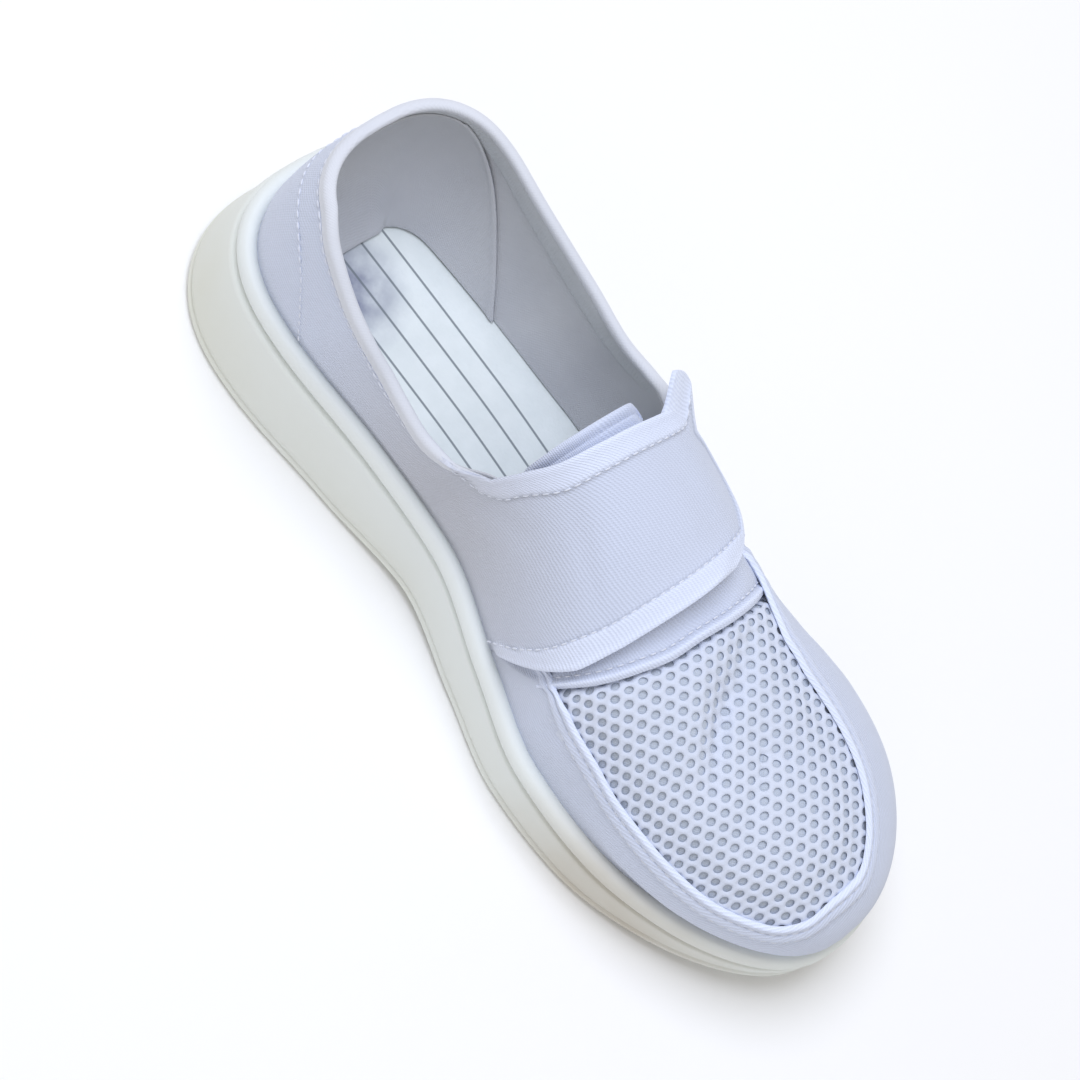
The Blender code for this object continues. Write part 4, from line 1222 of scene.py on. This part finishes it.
class SHOE_OT_vamp(bpy.types.Operator):
    """Knit the mesh vamp with its holes, over its closed backing"""

    bl_idname = "shoe.vamp"
    bl_label = "Knit the vamp"

    def execute(self, context):
        station = (1 - np.cos(np.linspace(math.acos(1 - 2 * VAMP_FROM), math.pi, 90)))[:, None] / 2
        low = lift_at(station, np.minimum(free_height(station, False), THROAT_HEIGHT)) - VAMP_TUCK
        high = 180 - lift_at(station, free_height(station, True)) + VAMP_TUCK
        half = np.linspace(0.0, 1.0, 40)
        turn = np.concatenate((low + (90 - low) * half, 90 + (high - 90) * half[1:]), 1)
        inside = np.minimum(turn - low, high - turn) - VAMP_TUCK
        behind = station - through(TONGUE_EDGES, "front", turn)
        crown = ease(inside / 18.0) * ease(behind / 0.05)
        worn = creased(station, turn, MESH_CREASES) * ease(inside / 10.0) * ease(behind / 0.03)
        layer = -0.85 - 2.8 * (1 - ease((behind + 0.004) / 0.014)) + 0.9 * crown + worn
        layer = layer + 0.45 * (1 - ease(inside / 5.0)) * ease(behind / 0.02)
        shaped = form(station, turn, layer)
        flat = self.unrolled(station, turn, shaped)
        self.knit(shaped, flat)
        # The backing is drawn grey-blue, darker than the strands: painted shade in the holes.
        backing = cloth("vamp_backing", (form(station, turn, layer - 0.95), flat / MM))
        thicken(backing, 0.4, 0.1)
        settle(backing, woven_tape("grey_knit_backing", "#C9D1DD", "#BDC6D4", 0.8), ("mesh_vamp",))
        return {"FINISHED"}

    def unrolled(self, station, turn, shaped):
        """Each section laid flat from the ridge towards its own end of the rim."""
        lateral = turn > 90
        ridge = axis(spine(station)) * MM
        towards = outline(ring_angle(station, lateral)) * MM - ridge
        towards = towards / np.linalg.norm(towards, axis=-1, keepdims=True)
        steps = np.linalg.norm(np.diff(shaped, axis=1), axis=-1)
        run = np.concatenate((np.zeros((len(shaped), 1)), np.cumsum(steps, 1)), 1)
        top = np.array([np.interp(90.0, turn[i], run[i]) for i in range(len(run))])[:, None]
        return ridge + towards * np.abs(run - top)[..., None]

    def knit(self, shaped, flat):
        """Carries rows of holes from the flat panel onto its shaped form."""
        sizes = bpy.context.scene.shoe_cloth
        panel = cloth("knitted_vamp", (np.concatenate((flat, np.zeros((*flat.shape[:2], 1))), -1), flat))
        facing = np.cross(np.gradient(shaped, axis=1), np.gradient(shaped, axis=0))
        facing /= np.maximum(np.linalg.norm(facing, axis=-1, keepdims=True), 1e-12)
        if facing[..., 2].sum() < 0:
            facing = -facing
        # The last rows of a flat panel meet at the toe, so each point looks up its own place.
        laid = flat.reshape(-1, 2).astype(np.float32).tolist()
        lookup = {tuple(np.round(place, 7)): i for i, place in enumerate(laid)}
        order = [lookup[tuple(np.round((v.co.x, v.co.y), 7))] for v in panel.data.vertices]
        for name, values in (("shaped", shaped), ("facing", facing)):
            layer = panel.data.attributes.new(name, "FLOAT_VECTOR", "POINT")
            layer.data.foreach_set("vector", values.reshape(-1, 3)[order].ravel())
        cell = self.cell(sizes)
        middle = Vector((0.0, axis(np.array(MESH_MIDDLE))[1] * MM, 0.0))
        run_tree(panel, knit_tree(), {
            "Cell": cell, "Pitch": sizes.hole_pitch, "Row": sizes.hole_row,
            "Columns": MESH_COLUMNS, "Rows": MESH_ROWS, "Middle": middle, "Yarn": knitted_mesh()})
        wall = panel.modifiers.new("strands", "SOLIDIFY")
        wall.thickness = 0.9 * MM
        wall.offset = -1.0
        settle(panel, knitted_mesh(), ("mesh_vamp",))
        bpy.data.objects.remove(cell)

    def cell(self, sizes):
        """One hole with its share of the strands round it, raised between the holes."""
        pitch, row, hole = sizes.hole_pitch, sizes.hole_row, sizes.hole_size / 2
        near = np.array(((pitch, 0.0), (pitch / 2, row), (-pitch / 2, row)))
        near = np.concatenate((near, -near))
        pairs = np.stack((near, np.roll(near, -1, 0)), 1)
        corners = [np.linalg.solve(pair, (pair * pair).sum(1) / 2) for pair in pairs]
        border = [a + (b - a) * k / 3 for a, b in zip(corners, corners[1:] + corners[:1]) for k in range(3)]
        made = bmesh.new()
        rings = []
        for way, relief in ((0.0, -0.3), (0.3, 0.0), (1.0, 0.12)):
            ring = []
            for point in border:
                round_hole = point / np.linalg.norm(point) * hole * np.array((1.1, 0.94))
                place = round_hole + (point - round_hole) * way
                ring.append(made.verts.new((*place, relief * MM)))
            rings.append(ring)
        for inner, outer in zip(rings, rings[1:]):
            for k in range(len(border)):
                j = (k + 1) % len(border)
                made.faces.new((inner[k], outer[k], outer[j], inner[j]))
        mesh = bpy.data.meshes.new("mesh_cell")
        made.to_mesh(mesh)
        made.free()
        return link("mesh_cell", mesh)


class SHOE_OT_tongue(bpy.types.Operator):
    """Sew the tongue under the strap, its front hem over the mesh"""

    bl_idname = "shoe.tongue"
    bl_label = "Sew the tongue"

    def execute(self, context):
        across = np.linspace(0.0, 1.0, 81)
        near = np.array((0.0, 0.3, 0.7, 1.2, 1.8, 2.4, 2.9, 3.3, 3.8, 4.4, 5.4))
        long = TONGUE_LONG
        away = np.concatenate((near, np.linspace(5.4, long - 5.4, 30)[1:-1], long - near[::-1]))[:, None]
        part = away / long
        side = TONGUE_TO - (TONGUE_TO - TONGUE_TOP_TO) * ease((part - 0.55) / 0.45)
        turn = TONGUE_FROM + (side - TONGUE_FROM) * across
        front, back = through(TONGUE_EDGES, "front", turn), through(TONGUE_EDGES, "back", turn)
        corner = np.clip((across - 0.94) / 0.06, 0.0, 1.0)
        back = back + 0.010 * (1 - np.sqrt(1 - corner * corner))
        station = front - (front - back) * part
        welt = 0.9 * hump((away - 1.5) / 1.5) - 0.45 * hump((away - 3.5) / 0.7)
        top = 0.4 * hump((long - away - 1.0) / 1.4) - 0.3 * hump((long - away - 2.9) / 0.6)
        bent = -2.2 * ease((across - 0.88) / 0.12) * ease((part - 0.65) / 0.25)
        tucked = 2.5 * ease((turn - 100.0) / 25.0) * ease((0.62 - part) / 0.2) * ease((part - 0.03) / 0.10)
        layer = -2.9 + 1.9 * ease((part - 0.13) / -0.10) + welt + top + bent + tucked
        points = form(station, turn, layer)
        # Painted light: shade along the row of stitches, a painted highlight on the welt and a fainter one at
        # the back edge.
        seam = 0.7 * hump((away - 3.6) / 0.8) - 1.2 * hump((away - 1.5) / 1.5)
        seam = seam - 0.3 * hump((long - away - 1.0) / 1.6)
        tongue = cloth("tongue_flap", (points, flat_places(points, turn * MM_PER_DEGREE)[..., ::-1], seam))
        thicken(tongue, 1.3, 0.45)
        settle(tongue, twill_canvas(), ("tongue",))
        lift = np.array((0.0, 0.0, 0.15 * MM))
        sew("tongue_stitches", [points[8, 4:-4] + lift])
        return {"FINISHED"}


class SHOE_OT_binding(bpy.types.Operator):
    """Bind the collar with folded tape"""

    bl_idname = "shoe.binding"
    bl_label = "Bind the collar"

    def execute(self, context):
        run = np.linspace(0.0, 1.0, 120) ** 1.25
        foot = np.concatenate((TAPE_OUTER_END * run[::-1], TAPE_INNER_END * run[1:]))
        lateral = np.arange(len(foot)) < 120
        station = leaned(foot, 1.0)
        # The tape's section, from its outer edge over the collar: rise above the edge, and layer.
        fold = np.array(((-2.5, 1.02), (-2.435, 1.2), (-2.11, 1.24), (-1.655, 1.24), (-1.2, 1.24),
                         (-0.8, 1.34), (-0.4, 1.46), (0.0, 1.46), (0.4, 1.26), (0.68, 0.85), (0.78, 0.3),
                         (0.68, -0.25), (0.4, -0.66), (-0.1, -0.9), (-0.7, -0.98), (-1.2, -0.94),
                         (-1.4, -0.7)))
        rise, layer = fold[:, :1], fold[:, 1:]
        # The tape's inner end dies out in the strap's hem.
        shrink = 0.1 + 0.9 * ease(np.where(lateral, 1.0, (TAPE_INNER_END - foot) * LENGTH / 14.0))
        edge_height = free_height(station, lateral) + QUARTER_STEP - 2.2 * (1 - shrink)
        height = edge_height + rise * shrink
        layer = 0.3 + (layer - 0.3) * shrink
        turn = side_turn(lift_at(station, height, layer), lateral)
        points = form(station, turn, layer + creased(station, turn))
        tape = cloth("collar_tape", (points, flat_places(points, foot * LENGTH)))
        thicken(tape, 0.42, 0.12)
        white = woven_tape("white_binding_tape", "#DEE1E9", "#D2D6E0", 0.8)
        settle(tape, white, ("collar_binding",))
        below = lift_at(station, edge_height - 3.6, QUARTER_STEP)
        sew("binding_stitches", [form(station, side_turn(below, lateral), QUARTER_STEP + 0.22)[2:-22]])
        band = np.array(((-0.6, -0.98), (-4.5, -1.1), (-8.0, -1.3), (-8.5, -1.25), (-8.7, -1.0)))
        height = edge_height + band[:, :1] * shrink
        points = form(station, side_turn(lift_at(station, height, band[:, 1:]), lateral), band[:, 1:])
        points = points[:, :-26]
        facing = cloth("collar_facing", (points[::-1], flat_places(points, foot[:-26] * LENGTH)))
        thicken(facing, 0.35, 0.1)
        # The tape's inner leg is drawn grey, darker than the tape outside: painted shade.
        grey = woven_tape("grey_facing_tape", "#CDD1D6", "#C1C5CB", 0.8)
        settle(facing, grey, ("collar_binding",))
        return {"FINISHED"}


class SHOE_OT_stage(bpy.types.Operator):
    """Set the pale floor, the soft lights and the camera"""

    bl_idname = "shoe.stage"
    bl_label = "Set the stage"

    def execute(self, context):
        scene = context.scene
        stage = scene.shoe_stage
        scene.view_settings.view_transform = "Standard"
        self.floor(stage)
        self.lights(scene, stage)
        self.camera(scene, stage)
        return {"FINISHED"}

    def floor(self, stage):
        """A wide pale sheet, faintly uneven in tone."""
        made = bmesh.new()
        bmesh.ops.create_grid(made, x_segments=8, y_segments=8, size=3.0)
        mesh = bpy.data.meshes.new("floor")
        made.to_mesh(mesh)
        made.free()
        floor = link("floor", mesh)
        finish, tree, shader = new_finish("pale_studio_floor", 0.7)
        place = add(tree, "ShaderNodeTexCoord", out="Object")
        tone = add(tree, "ShaderNodeTexNoise", {"Vector": place, "Scale": 6.0})
        colour = add(tree, "ShaderNodeMix", {0: tone, 6: opaque(stage.floor_colour), 7: opaque("#F8F8F8")},
                     data_type="RGBA", out=2)
        tree.links.new(colour, shader.inputs["Base Color"])
        mesh.materials.append(finish)

    def lights(self, scene, stage):
        """Even room light, one large light overhead and a weaker one at the inner side."""
        room = bpy.data.worlds.new("room")
        room.use_nodes = True
        back = room.node_tree.nodes["Background"]
        back.inputs["Color"].default_value = opaque("#FFFBF4")
        back.inputs["Strength"].default_value = stage.sky
        scene.world = room
        for name, place, size, power in (("overhead", (0.02, 0.3, 1.25), 0.9, stage.key_power),
                                         ("inner_side", (-0.9, -0.7, 0.8), 0.9, stage.key_power * 0.14)):
            lamp = bpy.data.lights.new(name, "AREA")
            lamp.shape = "DISK"
            lamp.size = size
            lamp.energy = power
            lamp.color = linear("#EAF0FF")
            light = bpy.data.objects.new(name, lamp)
            light.location = place
            light.rotation_euler = (-Vector(place)).to_track_quat("-Z", "Y").to_euler()
            scene.collection.objects.link(light)

    def camera(self, scene, stage):
        """The photograph's angle to the shoe, rolled as it was held."""
        aim = Vector((-8.7, 4.9, 30.0)) * MM
        flat = math.cos(stage.elevation)
        back = Vector((math.sin(stage.azimuth) * flat, -math.cos(stage.azimuth) * flat,
                       math.sin(stage.elevation)))
        lens = bpy.data.cameras.new("photograph")
        lens.lens = stage.lens
        lens.sensor_width = 36.0
        view = bpy.data.objects.new("photograph", lens)
        view.rotation_mode = "QUATERNION"
        view.location = aim + back * stage.distance
        view.rotation_quaternion = (-back).to_track_quat("-Z", "Y") @ Quaternion((0, 0, 1), stage.roll)
        scene.collection.objects.link(view)
        scene.camera = view


MAKERS = (SHOE_OT_sole, SHOE_OT_insole, SHOE_OT_mudguard, SHOE_OT_quarters, SHOE_OT_lining, SHOE_OT_vamp,
          SHOE_OT_tongue, SHOE_OT_binding, SHOE_OT_stage)


class SHOE_PT_sidebar(bpy.types.Panel):
    """The shoe's sizes and colours, and its makers in order"""

    bl_idname = "SHOE_PT_sidebar"
    bl_label = "Strap shoe"
    bl_space_type = "VIEW_3D"
    bl_region_type = "UI"
    bl_category = "Strap shoe"

    def draw(self, context):
        for group in (context.scene.shoe_cloth, context.scene.shoe_sole, context.scene.shoe_stage):
            box = self.layout.box()
            for name in group.__annotations__:
                box.prop(group, name)
        for maker in MAKERS:
            self.layout.operator(maker.bl_idname)


CLASSES = (ShoeCloth, ShoeSole, ShoeStage, *MAKERS, SHOE_PT_sidebar)


def register():
    for part in CLASSES:
        bpy.utils.register_class(part)
    bpy.types.Scene.shoe_cloth = PointerProperty(type=ShoeCloth)
    bpy.types.Scene.shoe_sole = PointerProperty(type=ShoeSole)
    bpy.types.Scene.shoe_stage = PointerProperty(type=ShoeStage)


def unregister():
    del bpy.types.Scene.shoe_stage
    del bpy.types.Scene.shoe_sole
    del bpy.types.Scene.shoe_cloth
    for part in reversed(CLASSES):
        bpy.utils.unregister_class(part)


def main():
    register()
    bpy.context.scene.collection.children.link(bpy.data.collections.new("strap_shoe"))
    for maker in MAKERS:
        group, name = maker.bl_idname.split(".")
        getattr(getattr(bpy.ops, group), name)()


if __name__ == "__main__":
    main()
